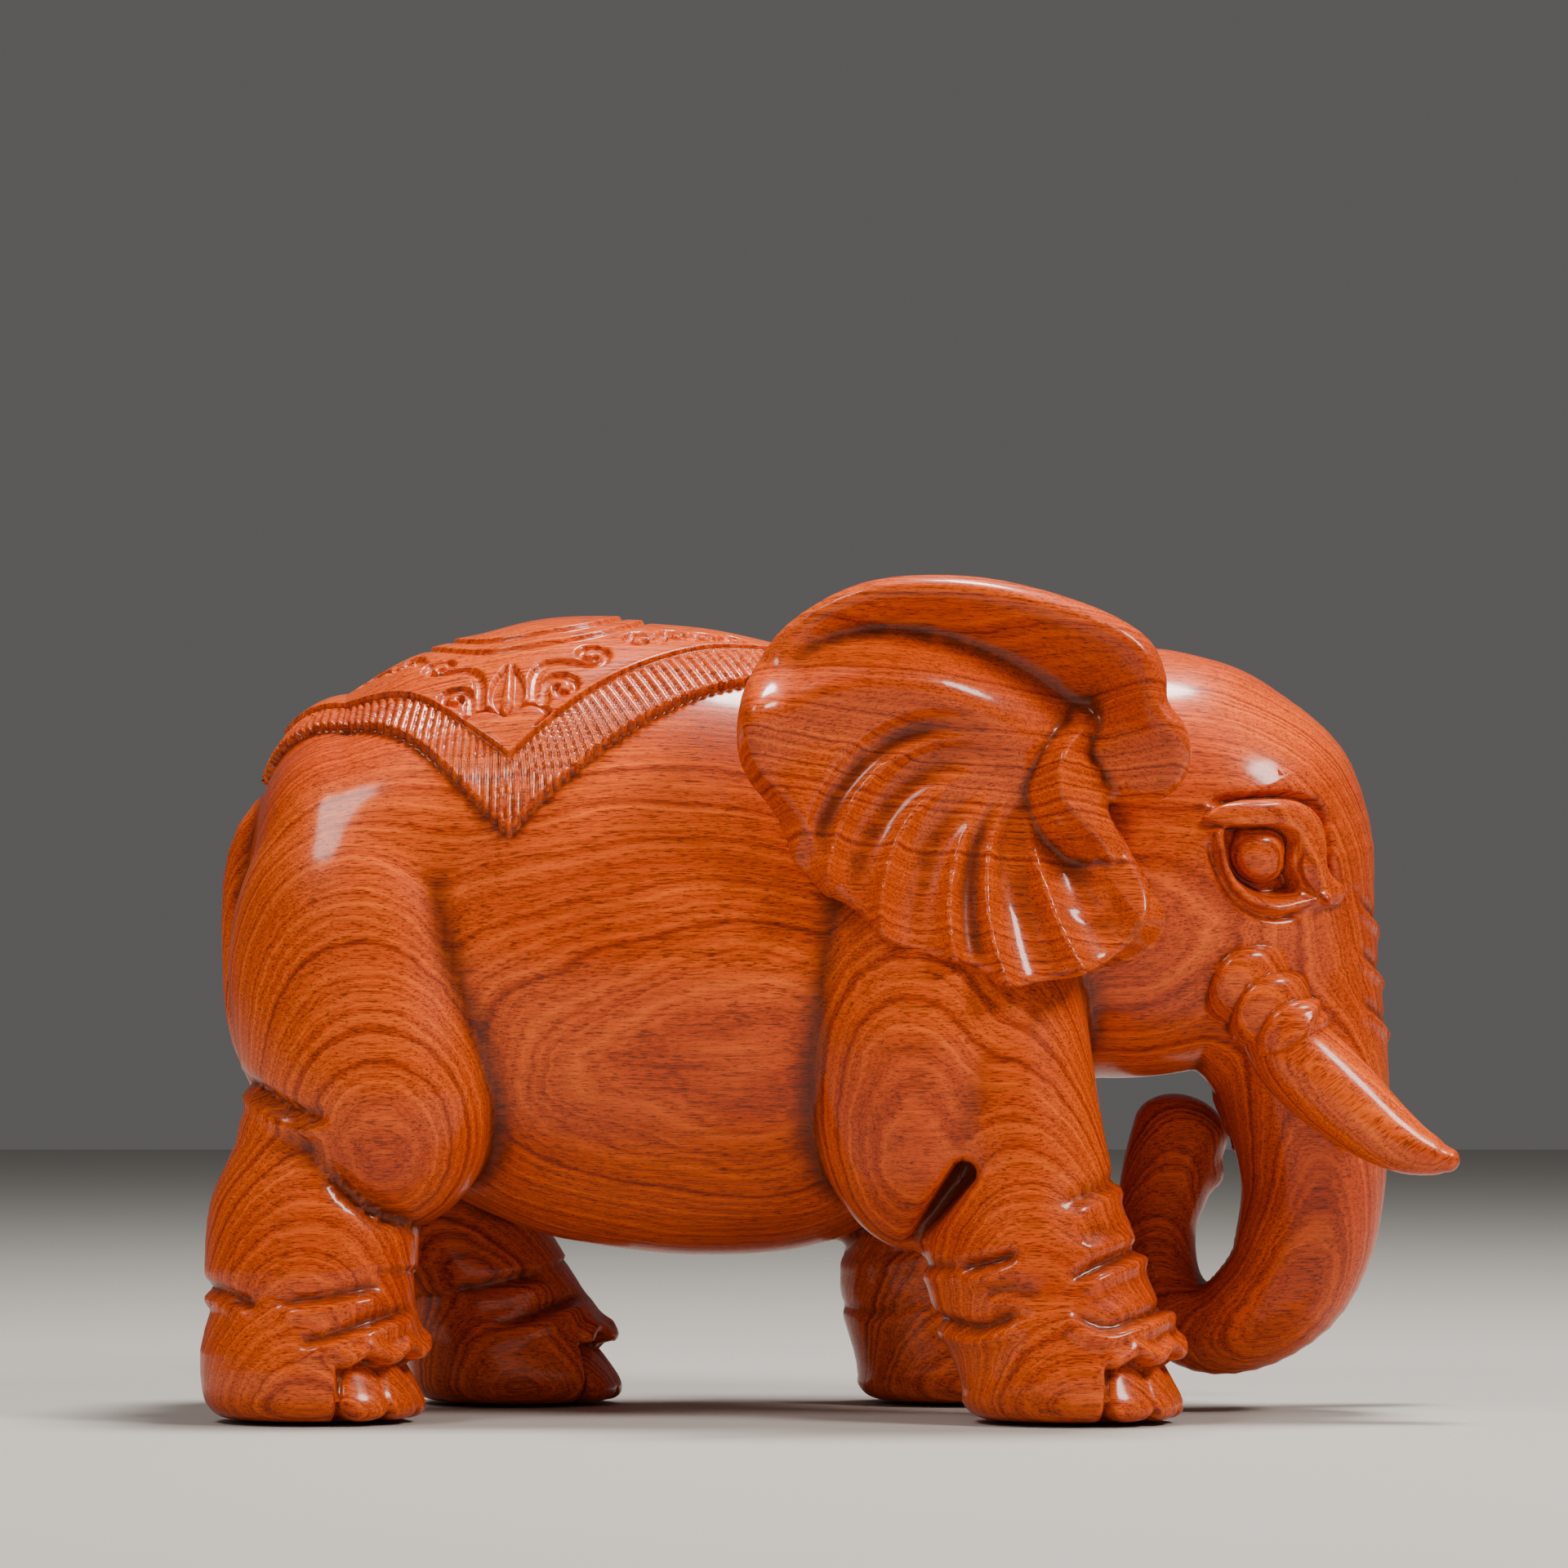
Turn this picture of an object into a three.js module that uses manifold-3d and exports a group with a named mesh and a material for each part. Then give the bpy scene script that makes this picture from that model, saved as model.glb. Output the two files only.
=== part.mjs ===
// A walking elephant carved in polished rosewood, standing on four felt pads.
//
// The torso, head, trunk, legs and saddle cloth are one block of wood. The two ears are carved from
// side blanks that sit in flat-bottomed pockets in the block, each located by one beech dowel, and the
// two tusks are whittled separately and plug into drilled sockets in the cheeks.
//
// Millimetres. +X is forwards (the way the elephant walks), +Y is its left side, +Z is up. The origin
// is on the table, under the middle of the bounding box.
import * as THREE from "three";
import { mergeVertices } from "three/addons/utils/BufferGeometryUtils.js";
import Module from "manifold-3d";

const wasm = await Module();
wasm.setup();

// ---- Driving dimensions -----------------------------------------------------------------------
const PAD_RADIUS = 10;
const PAD_THICKNESS = 1;
const SOLE_Z = PAD_THICKNESS; // the soles stand on the pads
const GLUE_GAP = 0.3; // room left round each piece that is let into the block
const BACK_Z = 188.5; // top of the back, before the saddle cloth
const TORSO_HALF_WIDTH = 52;
const CLOTH_RELIEF = 2; // how far the carved saddle cloth stands proud of the back
const EAR_ROOT_Y = 35; // glue face of each ear, out from the middle plane
const EAR_THICKNESS = 9;
const DOWEL_RADIUS = 4;
const DOWEL_LENGTH = 22;
const TENON_RADIUS = 5; // round tenon at a tusk's root
const TENON_LENGTH = 14;
const TOE_RADIUS = 7.5;
const THIGH = [31.5, 25, 57]; // half-sizes of the haunch that swells over each hind leg
const EAR_ROOT_SIZE = [21, 28]; // half-sizes of an ear's oval root, along X and Z
const EAR_ROOT_AT = [58, 138]; // x, z of the middle of the root, and of its dowel

const ROSEWOOD = { color: 0xb4511c, roughness: 0.28, metalness: 0 };
const BEECH = { color: 0xc9a679, roughness: 0.7, metalness: 0 };
const FELT = { color: 0x201c1a, roughness: 0.95, metalness: 0 };

const LEFT = 1;
const RIGHT = -1;

// ---- Helpers ----------------------------------------------------------------------------------
const Y_AXIS = new THREE.Vector3(0, 1, 0);

/** A manifold-3d solid from a closed three.js geometry. */
function solid(geometry) {
  const bare = geometry.clone();
  for (const name of Object.keys(bare.attributes)) {
    if (name !== "position") bare.deleteAttribute(name);
  }
  const merged = mergeVertices(bare, 1e-4);
  const made = new wasm.Manifold(
    new wasm.Mesh({
      numProp: 3,
      vertProperties: merged.attributes.position.array,
      triVerts: new Uint32Array(merged.index.array),
    }),
  );
  return made;
}

/** A three.js geometry from a manifold-3d solid. */
function geometryOf(body) {
  const mesh = body.getMesh();
  const geometry = new THREE.BufferGeometry();
  geometry.setAttribute("position", new THREE.BufferAttribute(mesh.vertProperties, 3));
  geometry.setIndex(new THREE.BufferAttribute(mesh.triVerts, 1));
  geometry.computeVertexNormals();
  return geometry;
}

const union = (solids) => solids.reduce((a, b) => a.add(b));

/**
 * A closed tube of changing oval section. Each station is [x, y, z, depth, width]: the centre, the
 * half-size in the plane of the path (the XZ plane) and the half-size along Y.
 */
function sweep(stations, steps, sides, grow = 0) {
  const centres = new THREE.CatmullRomCurve3(stations.map((s) => new THREE.Vector3(s[0], s[1], s[2])));
  const sizes = new THREE.CatmullRomCurve3(stations.map((s) => new THREE.Vector3(s[3], s[4], 0)));
  const positions = [];
  const index = [];
  for (let i = 0; i <= steps; i++) {
    const centre = centres.getPoint(i / steps);
    const size = sizes.getPoint(i / steps);
    const tangent = centres.getTangent(i / steps);
    const outward = new THREE.Vector3().crossVectors(Y_AXIS, tangent).normalize();
    for (let k = 0; k < sides; k++) {
      const angle = (2 * Math.PI * k) / sides;
      const point = centre
        .clone()
        .addScaledVector(outward, (size.x + grow) * Math.cos(angle))
        .addScaledVector(Y_AXIS, (size.y + grow) * Math.sin(angle));
      positions.push(point.x, point.y, point.z);
    }
  }
  const quad = (a, b, c, d) => index.push(a, b, c, a, c, d);
  for (let i = 0; i < steps; i++) {
    for (let k = 0; k < sides; k++) {
      const next = (k + 1) % sides;
      quad(i * sides + k, i * sides + next, (i + 1) * sides + next, (i + 1) * sides + k);
    }
  }
  const first = centres.getPoint(0);
  const last = centres.getPoint(1);
  positions.push(first.x, first.y, first.z, last.x, last.y, last.z);
  const firstPole = (steps + 1) * sides;
  for (let k = 0; k < sides; k++) {
    const next = (k + 1) % sides;
    index.push(firstPole, next, k);
    index.push(firstPole + 1, steps * sides + k, steps * sides + next);
  }
  const geometry = new THREE.BufferGeometry();
  geometry.setAttribute("position", new THREE.Float32BufferAttribute(positions, 3));
  geometry.setIndex(index);
  const made = solid(geometry);
  return made.volume() < 0 ? solid(flipped(geometry)) : made;
}

/** The same geometry with every face turned round. */
function flipped(geometry) {
  const turned = geometry.clone();
  const index = turned.index.array;
  for (let i = 0; i < index.length; i += 3) {
    [index[i + 1], index[i + 2]] = [index[i + 2], index[i + 1]];
  }
  return turned;
}

/** An ellipsoid; pitch tips it nose-down about Y. */
function ellipsoid(centre, radii, pitch = 0, detail = 20) {
  const geometry = new THREE.SphereGeometry(1, detail, Math.round(detail / 2));
  geometry.scale(...radii).rotateY(pitch).translate(...centre);
  return solid(geometry);
}

/** A round bar along Y. */
function barAlongY(x, z, y0, y1, radius) {
  const geometry = new THREE.CylinderGeometry(radius, radius, Math.abs(y1 - y0), 20);
  return solid(geometry.translate(x, (y0 + y1) / 2, z));
}

// ---- The block --------------------------------------------------------------------------------
function torso(grow = 0) {
  const top = BACK_Z;
  const wide = TORSO_HALF_WIDTH;
  const stations = [
    [-142, 0, 119, 13, 13],
    [-136, 0, 118, 35, 32],
    [-121, 0, 116, 54, 44],
    [-97, 0, 115, 67, wide - 2],
    [-65, 0, top - 73, 73, wide],
    [-35, 0, top - 74, 74, wide],
    [-5, 0, top - 73, 70, wide - 1],
    [25, 0, 117, 64, wide - 5],
    [50, 0, 122, 54, wide - 12],
    [74, 0, 129, 45, wide - 18],
  ];
  return sweep(stations, 20, 28, grow);
}

/** Skull, jaw and the trunk, which hangs, sweeps back under the chin and turns up on the left. */
function head() {
  const skull = ellipsoid([92, 0, 141], [39, 36, 41], 0, 22);
  const neck = ellipsoid([58, 0, 126], [40, 39, 57], 0, 20);
  const jaw = ellipsoid([88, 0, 108], [36, 30, 29], 0.25, 16);
  const trunk = sweep(
    [
      [100, 0, 128, 30, 33],
      [109, 0, 110, 26, 28],
      [114, 0, 93, 21.5, 23],
      [116, 0, 77, 19, 20],
      [115.5, 0, 60, 18.5, 18],
      [112, 0, 44, 16.5, 16],
      [103.5, 2, 30.5, 14, 14],
      [90, 7, 23, 11, 12],
      [79, 12, 30, 10, 11],
      [76, 15, 45, 10, 10.5],
      [77.5, 16, 60, 10.5, 10],
      [81, 16, 70, 9, 8.5],
      [82.5, 16, 76, 4, 4],
    ],
    32,
    14,
  );
  return union([skull, neck, jaw, trunk]);
}

/** The ringed sheath that a tusk comes out of, as overlapping beads along the cheek. */
function sheath(side) {
  const step = new THREE.Vector3(6.2, side * 0.8, -8);
  const beads = [0, 1, 2].map((i) => {
    const centre = new THREE.Vector3(98, side * 27, 105).addScaledVector(step, i);
    return ellipsoid(centre.toArray(), [11, 10, 11], 0, 12);
  });
  return union(beads);
}

const TUSK_PATH = [
  [108, 27, 90, 9.6, 8.6],
  [118, 28.5, 82, 10, 9],
  [128, 30.5, 74, 9.4, 8.6],
  [138, 33, 67.5, 7.6, 7.2],
  [145, 34.5, 63.5, 5.4, 5.2],
  [149, 35.5, 61.5, 1.6, 1.6],
];

/** A tusk with the round tenon at its root that plugs into the cheek. */
function tusk(side, grow = 0) {
  const placed = TUSK_PATH.map(([x, y, z, depth, width]) => [x, side * y, z, depth, width]);
  const blade = sweep(placed, 14, 14, grow);
  const root = new THREE.Vector3(...placed[0].slice(0, 3));
  const along = new THREE.Vector3(...placed[1].slice(0, 3)).sub(root).normalize();
  const tenonLength = TENON_LENGTH + 2 * grow;
  const tenon = new THREE.CylinderGeometry(TENON_RADIUS + grow, TENON_RADIUS + grow, tenonLength, 20);
  tenon.applyQuaternion(new THREE.Quaternion().setFromUnitVectors(Y_AXIS, along));
  const middle = root.clone().addScaledVector(along, -TENON_LENGTH / 2 + 2);
  tenon.translate(middle.x, middle.y, middle.z);
  return blade.add(solid(tenon));
}

/** Three toenails round the front of a foot, turned a little outwards. */
function toes(footX, footY, side) {
  const reach = 21.5;
  const height = TOE_RADIUS * 0.95;
  return [-0.4, 0.15, 0.7].map((turn) => {
    const x = footX + reach * Math.cos(turn);
    const y = footY + side * reach * Math.sin(turn);
    return ellipsoid([x, y, SOLE_Z + height], [TOE_RADIUS, TOE_RADIUS * 0.8, height], 0.35, 10);
  });
}

/** A leg is a stack of oval sections; its last station is the sole. */
function leg(side, stations) {
  const placed = stations.map(([x, y, z, depth, width]) => [x, side * y, z, depth, width]);
  return sweep(placed, 12, 18);
}

const FRONT_FOOT_Y = 39;
const HIND_FOOT_Y = 36;

const LEGS = {
  right_front: {
    side: RIGHT,
    foot: [58, FRONT_FOOT_Y],
    stations: [
      [14, 26, 108, 28, 20],
      [20, 30, 88, 33, 25],
      [27, 33, 70, 32, 25],
      [41, 36, 48, 27, 23],
      [47.5, 37, 34, 25.5, 22.5],
      [52, 38, 22, 26, 23],
      [56.5, FRONT_FOOT_Y, 11, 26.5, 24],
      [58, FRONT_FOOT_Y, SOLE_Z - 5, 25, 23],
    ],
  },
  left_front: {
    side: LEFT,
    foot: [34, FRONT_FOOT_Y],
    stations: [
      [10, 26, 108, 28, 20],
      [14, 30, 88, 32, 25],
      [18, 33, 70, 31, 25],
      [25, 36, 48, 27, 23],
      [28.5, 37, 34, 25.5, 22.5],
      [31, 38, 22, 26, 23],
      [34, FRONT_FOOT_Y, 11, 26.5, 24],
      [34, FRONT_FOOT_Y, SOLE_Z - 5, 25, 23],
    ],
  },
  right_hind: {
    side: RIGHT,
    foot: [-122, HIND_FOOT_Y],
    stations: [
      [-110, 28, 104, 28, 20],
      [-112, 32, 80, 30, 24],
      [-118, 34, 60, 28, 23],
      [-123.5, 35, 45, 25, 22],
      [-123.5, 35.5, 28, 25, 22],
      [-122.5, HIND_FOOT_Y, 11, 26.5, 24],
      [-122, HIND_FOOT_Y, SOLE_Z - 5, 25, 23],
    ],
  },
  left_hind: {
    side: LEFT,
    foot: [-77, HIND_FOOT_Y],
    stations: [
      [-108, 28, 104, 28, 20],
      [-104, 32, 80, 30, 24],
      [-95, 34, 60, 28, 23],
      [-87, 35, 45, 25, 22],
      [-81, 35.5, 28, 25, 22],
      [-77.5, HIND_FOOT_Y, 11, 26.5, 24],
      [-77, HIND_FOOT_Y, SOLE_Z - 5, 25, 23],
    ],
  },
};

function tail() {
  return sweep(
    [
      [-128, 0, 160, 6, 6],
      [-140, 0, 146, 5.5, 6],
      [-144.2, 0, 126, 4.5, 6],
      [-145.2, 0, 106, 4.5, 6.5],
      [-142.8, 0, 90, 4.5, 7],
      [-138.5, 0, 78, 3, 4],
    ],
    14,
    10,
  );
}

/** The saddle cloth: a star draped over the back, with one point hanging down each flank. */
function saddleCloth() {
  const sidePoint = [-76, 141.5];
  const rearPoint = [-150, 143];
  const frontPoint = [14, 187];
  const outline = new THREE.Shape();
  outline.moveTo(...rearPoint);
  outline.quadraticCurveTo(-122, 162, -110, 164.5);
  outline.quadraticCurveTo(-95, 162, ...sidePoint);
  outline.quadraticCurveTo(-50, 170, ...frontPoint);
  outline.lineTo(14, 205);
  outline.lineTo(-150, 205);
  outline.closePath();
  const width = 3 * TORSO_HALF_WIDTH;
  const drape = new THREE.ExtrudeGeometry(outline, { depth: width, bevelEnabled: false, curveSegments: 8 });
  drape.rotateX(Math.PI / 2).translate(0, width / 2, 0);
  return solid(drape).intersect(torso(CLOTH_RELIEF));
}

// ---- Ears -------------------------------------------------------------------------------------
const EAR_HUB = [56, 150]; // x, z of the middle of the ear plate
const EAR_OUTLINE = [
  [79, 176],
  [68, 188],
  [45, 196.5],
  [22, 200],
  [4, 197],
  [-13, 186],
  [-20, 171],
  [-21, 155],
  [-15, 139],
  [-5, 124],
  [8, 116],
  [26, 107],
  [46, 102.5],
  [63, 107],
  [74, 122],
  [79, 138],
  [86, 156],
];

/** How far out from the middle plane the ear's outer face stands at (x, z). */
function earFace(x, z) {
  const back = THREE.MathUtils.smoothstep(70 - x, 0, 90);
  const up = Math.max(0, (z - 160) / 40);
  const scoop = 6 * Math.exp(-(((x - 28) / 34) ** 2) - ((z - 158) / 24) ** 2);
  return 49 + 15 * back + 6 * up - scoop;
}

/** One ear: a dished plate with a thick root that fills its pocket in the block. */
function ear(side, grow = 0) {
  const rim = new THREE.CatmullRomCurve3(
    EAR_OUTLINE.map(([x, z]) => new THREE.Vector3(x, 0, z)),
    true,
  );
  const around = 36;
  const rings = [0.3, 0.6, 0.85, 1];
  const positions = [];
  const index = [];
  const put = (x, z, outerFace, edge) => {
    const half = (EAR_THICKNESS / 2) * (edge ? 0.45 : 1) + grow;
    const middle = earFace(x, z) - EAR_THICKNESS / 2;
    positions.push(x, side * (middle + (outerFace ? half : -half)), z);
  };
  for (const outerFace of [true, false]) {
    put(EAR_HUB[0], EAR_HUB[1], outerFace, false);
    for (const ring of rings) {
      for (let k = 0; k < around; k++) {
        const p = rim.getPoint(k / around);
        const dx = p.x - EAR_HUB[0];
        const dz = p.z - EAR_HUB[1];
        const reach = ring + (ring === 1 ? grow / Math.hypot(dx, dz) : 0);
        put(EAR_HUB[0] + dx * reach, EAR_HUB[1] + dz * reach, outerFace, ring === 1);
      }
    }
  }
  const perFace = 1 + rings.length * around;
  const at = (face, ring, k) => face * perFace + 1 + ring * around + (k % around);
  for (let k = 0; k < around; k++) {
    index.push(0, at(0, 0, k), at(0, 0, k + 1));
    index.push(perFace, at(1, 0, k + 1), at(1, 0, k));
    for (let r = 0; r < rings.length - 1; r++) {
      index.push(at(0, r, k), at(0, r + 1, k), at(0, r + 1, k + 1));
      index.push(at(0, r, k), at(0, r + 1, k + 1), at(0, r, k + 1));
      index.push(at(1, r, k), at(1, r + 1, k + 1), at(1, r + 1, k));
      index.push(at(1, r, k), at(1, r, k + 1), at(1, r + 1, k + 1));
    }
    const last = rings.length - 1;
    index.push(at(0, last, k), at(1, last, k), at(1, last, k + 1));
    index.push(at(0, last, k), at(1, last, k + 1), at(0, last, k + 1));
  }
  const geometry = new THREE.BufferGeometry();
  geometry.setAttribute("position", new THREE.Float32BufferAttribute(positions, 3));
  geometry.setIndex(index);
  const tried = solid(geometry);
  const plate = tried.volume() < 0 ? solid(flipped(geometry)) : tried;
  return plate.add(earRoot(side, grow));
}

/** The thick root of an ear, from its glue face out into the plate. */
function earRoot(side, grow) {
  const outerEnd = 46; // inside the plate
  const innerEnd = EAR_ROOT_Y - grow;
  const length = outerEnd - innerEnd;
  const root = new THREE.CylinderGeometry(1, 1, length, 28);
  root.scale(EAR_ROOT_SIZE[0] + grow, 1, EAR_ROOT_SIZE[1] + grow);
  return solid(root.translate(EAR_ROOT_AT[0], side * (innerEnd + length / 2), EAR_ROOT_AT[1]));
}

function dowel(side, grow = 0) {
  const half = DOWEL_LENGTH / 2 + grow;
  const middle = side * EAR_ROOT_Y;
  return barAlongY(...EAR_ROOT_AT, middle - half, middle + half, DOWEL_RADIUS + grow);
}

// ---- Assembly ---------------------------------------------------------------------------------
function carvedBody() {
  const thighs = [RIGHT, LEFT].map((side) => ellipsoid([-112, side * 31, 104], THIGH, 0, 20));
  const legs = Object.values(LEGS).flatMap(({ side, foot, stations }) => [
    leg(side, stations),
    ...toes(foot[0], side * foot[1], side),
  ]);
  const whole = union([
    torso(),
    saddleCloth(),
    head(),
    sheath(RIGHT),
    sheath(LEFT),
    tail(),
    ...thighs,
    ...legs,
  ]);
  const letIn = [RIGHT, LEFT].flatMap((side) => [
    ear(side, GLUE_GAP),
    dowel(side, GLUE_GAP),
    tusk(side, GLUE_GAP),
  ]);
  return whole.subtract(union(letIn)).subtract(belowSoles());
}

/** Everything under the soles, taken off so that the feet are flat. */
function belowSoles() {
  const depth = 20;
  const slab = new THREE.BoxGeometry(400, 200, depth);
  return solid(slab.translate(0, 0, SOLE_Z - depth / 2));
}

function mesh(name, body, finish) {
  const made = new THREE.Mesh(geometryOf(body), new THREE.MeshStandardMaterial(finish));
  made.name = name;
  return made;
}

function pad(name, [x, y], side) {
  const geometry = new THREE.CylinderGeometry(PAD_RADIUS, PAD_RADIUS, PAD_THICKNESS, 24);
  geometry.rotateX(Math.PI / 2);
  const made = new THREE.Mesh(geometry, new THREE.MeshStandardMaterial(FELT));
  made.position.set(x, side * y, PAD_THICKNESS / 2);
  made.name = name;
  return made;
}

const elephant = new THREE.Group();
elephant.add(mesh("carved_body", carvedBody(), ROSEWOOD));
for (const [side, word] of [
  [RIGHT, "right"],
  [LEFT, "left"],
]) {
  elephant.add(mesh("ear_" + word, ear(side).subtract(dowel(side, GLUE_GAP)), ROSEWOOD));
  elephant.add(mesh("ear_dowel_" + word, dowel(side), BEECH));
  elephant.add(mesh("tusk_" + word, tusk(side), ROSEWOOD));
}
for (const [word, { side, foot }] of Object.entries(LEGS)) {
  elephant.add(pad("foot_pad_" + word, foot, side));
}

export default elephant;
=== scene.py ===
"""A walking elephant carved in polished rosewood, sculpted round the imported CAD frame.

Each carved piece is one distance field in millimetres (negative inside the wood). A field is built from
ovals and limbs that are blended as a carver would round them, turned into a mesh, refined where the
carving is fine, and pressed onto the field again. The relief that lies on the surface, such as the
saddle cloth, the eyes and the skin folds, then moves each vertex in or out along its own normal.
"""

import math

import bmesh
import bpy
import numpy as np
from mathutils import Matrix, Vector


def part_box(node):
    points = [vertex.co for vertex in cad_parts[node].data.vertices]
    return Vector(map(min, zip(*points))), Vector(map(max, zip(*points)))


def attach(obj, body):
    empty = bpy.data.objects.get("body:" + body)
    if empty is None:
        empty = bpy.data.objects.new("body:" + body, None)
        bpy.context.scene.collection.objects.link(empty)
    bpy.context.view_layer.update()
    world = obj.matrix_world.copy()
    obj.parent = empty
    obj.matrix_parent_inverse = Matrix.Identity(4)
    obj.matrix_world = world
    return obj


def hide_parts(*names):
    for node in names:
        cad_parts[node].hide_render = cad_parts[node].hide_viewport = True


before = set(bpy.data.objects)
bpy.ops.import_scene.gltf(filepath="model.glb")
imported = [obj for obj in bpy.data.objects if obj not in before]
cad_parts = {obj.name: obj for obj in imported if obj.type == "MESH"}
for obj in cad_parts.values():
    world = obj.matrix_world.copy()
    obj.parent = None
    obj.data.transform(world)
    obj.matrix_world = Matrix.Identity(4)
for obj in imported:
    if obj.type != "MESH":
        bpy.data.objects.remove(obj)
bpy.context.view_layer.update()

MM = 0.001
FAR = 60.0  # stands for any distance past the reach of a blend
REACH = 25.0  # a piece is left out of a blend further from its box than this
PROBE = 0.05  # how far a field is sampled to each side for its slope


# ---- Where the CAD puts things, in millimetres ---------------------------------------------------
def box_mm(node):
    low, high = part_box(node)
    return np.array(low) / MM, np.array(high) / MM


def middle_mm(node):
    low, high = box_mm(node)
    return (low + high) / 2


FOOT = {corner: middle_mm("foot_pad_" + corner) for corner in
        ("right_front", "left_front", "right_hind", "left_hind")}
PAD_TOP = box_mm("foot_pad_right_front")[1][2]
EAR_ROOT_Y = box_mm("ear_left")[0][1]


# ---- Distance fields -----------------------------------------------------------------------------
def smooth_min(a, b, k):
    h = np.maximum(k - np.abs(a - b), 0.0) / k
    return np.minimum(a, b) - h * h * k * 0.25


def smooth_max(a, b, k):
    return -smooth_min(-a, -b, k)


def step_between(value, low, high):
    t = np.clip((value - low) / (high - low), 0.0, 1.0)
    return t * t * (3 - 2 * t)


def hump(value, width):
    return np.exp(-((value / width) ** 2))


def nearby(points, low, high, field):
    """The field inside the box low..high grown by REACH, and FAR outside it."""
    near = np.all((points > np.asarray(low) - REACH) & (points < np.asarray(high) + REACH), axis=1)
    out = np.full(len(points), FAR)
    if near.any():
        out[near] = field(points[near])
    return out


def oval_distance(offsets, radii):
    k0 = np.sqrt(((offsets / radii) ** 2).sum(1))
    k1 = np.sqrt(((offsets / (radii * radii)) ** 2).sum(1))
    return k0 * (k0 - 1) / np.maximum(k1, 1e-6)


def ellipsoid(points, centre, radii):
    centre = np.asarray(centre, float)
    radii = np.asarray(radii, float)
    return nearby(points, centre - radii, centre + radii, lambda p: oval_distance(p - centre, radii))


def catmull_rom(rows, at):
    """The curve through all but the first and last rows, at whole and part rows from the second."""
    i = min(int(at), len(rows) - 4)
    t = at - i
    a, b, c, d = rows[i:i + 4]
    bend = (2 * a - 5 * b + 4 * c - d) * t ** 2 + (3 * b - a - 3 * c + d) * t ** 3
    return 0.5 * (2 * b + (c - a) * t + bend)


def spline(stations, steps):
    """A smooth curve through the rows of stations, as steps + 1 rows."""
    rows = np.asarray(stations, float)
    rows = np.vstack([2 * rows[0] - rows[1], rows, 2 * rows[-1] - rows[-2]])
    return np.array([catmull_rom(rows, at) for at in np.linspace(0, len(rows) - 3, steps + 1)])


def limb(points, stations, steps=20, cap=None):
    """A smooth limb of oval section. Each station is x, y, z, depth (in the side view) and width."""
    path = spline(stations, steps)
    spine, sizes = path[:, :3], path[:, 3:5]
    thick = sizes.max()

    def field(p):
        nearest = np.full(len(p), np.inf)
        at = np.zeros(len(p))
        for i in range(steps):
            along = spine[i + 1] - spine[i]
            t = np.clip((p - spine[i]) @ along / (along @ along), 0, 1)
            gap = ((p - spine[i] - t[:, None] * along) ** 2).sum(1)
            closer = gap < nearest
            nearest[closer] = gap[closer]
            at[closer] = i + t[closer]
        knots = np.arange(steps + 1)
        centre = np.stack([np.interp(at, knots, spine[:, k]) for k in range(3)], 1)
        slopes = np.gradient(spine, axis=0)
        forward = np.stack([np.interp(at, knots, slopes[:, k]) for k in range(3)], 1)
        forward /= np.linalg.norm(forward, axis=1)[:, None]
        across = np.stack([-forward[:, 2], np.zeros(len(p)), forward[:, 0]], 1)
        across /= np.linalg.norm(across, axis=1)[:, None]
        sideways = np.cross(forward, across)
        depth = np.interp(at, knots, sizes[:, 0])
        width = np.interp(at, knots, sizes[:, 1])
        end = np.minimum(depth, width) if cap is None else np.full(len(p), float(cap))
        offset = p - centre
        local = np.stack([(offset * axis).sum(1) for axis in (forward, across, sideways)], 1)
        local[:, 0] *= (at <= 0) | (at >= steps)
        return oval_distance(local, np.stack([end, depth, width], 1))

    return nearby(points, spine.min(0) - thick, spine.max(0) + thick, field)


def trace(flat, path, reach=8.0):
    """For 2-D points near a 2-D path: distance, side (positive on its right) and way along it, 0..1."""
    path = np.asarray(path, float)
    distance = np.full(len(flat), FAR)
    side = np.full(len(flat), FAR)
    way = np.zeros(len(flat))
    near = np.all((flat > path.min(0) - reach) & (flat < path.max(0) + reach), axis=1)
    if not near.any():
        return distance, side, way
    q = flat[near]
    lengths = np.linalg.norm(np.diff(path, axis=0), axis=1)
    starts = np.concatenate([[0], np.cumsum(lengths)])
    best = np.full(len(q), np.inf)
    best_side = np.zeros(len(q))
    best_way = np.zeros(len(q))
    for i, length in enumerate(lengths):
        along = (path[i + 1] - path[i]) / max(length, 1e-9)
        offset = q - path[i]
        t = np.clip(offset @ along, 0, length)
        gap = np.linalg.norm(offset - t[:, None] * along, axis=1)
        closer = gap < best
        best[closer] = gap[closer]
        best_side[closer] = (offset[:, 0] * along[1] - offset[:, 1] * along[0])[closer]
        best_way[closer] = ((starts[i] + t) / starts[-1])[closer]
    distance[near] = best
    side[near] = np.where(best_side < 0, -best, best)
    way[near] = best_way
    return distance, side, way


def outline_distance(flat, outline):
    """Signed distance to a closed 2-D outline, negative inside."""
    best = np.full(len(flat), np.inf)
    inside = np.zeros(len(flat), bool)
    for a, b in zip(outline, np.roll(outline, -1, axis=0)):
        along = b - a
        offset = flat - a
        t = np.clip(offset @ along / (along @ along), 0, 1)
        best = np.minimum(best, ((offset - t[:, None] * along) ** 2).sum(1))
        crosses = (a[1] > flat[:, 1]) != (b[1] > flat[:, 1])
        rise = along[1] if along[1] else 1e-9
        inside ^= crosses & (flat[:, 0] < along[0] * (flat[:, 1] - a[1]) / rise + a[0])
    return np.where(inside, -1, 1) * np.sqrt(best)


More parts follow.
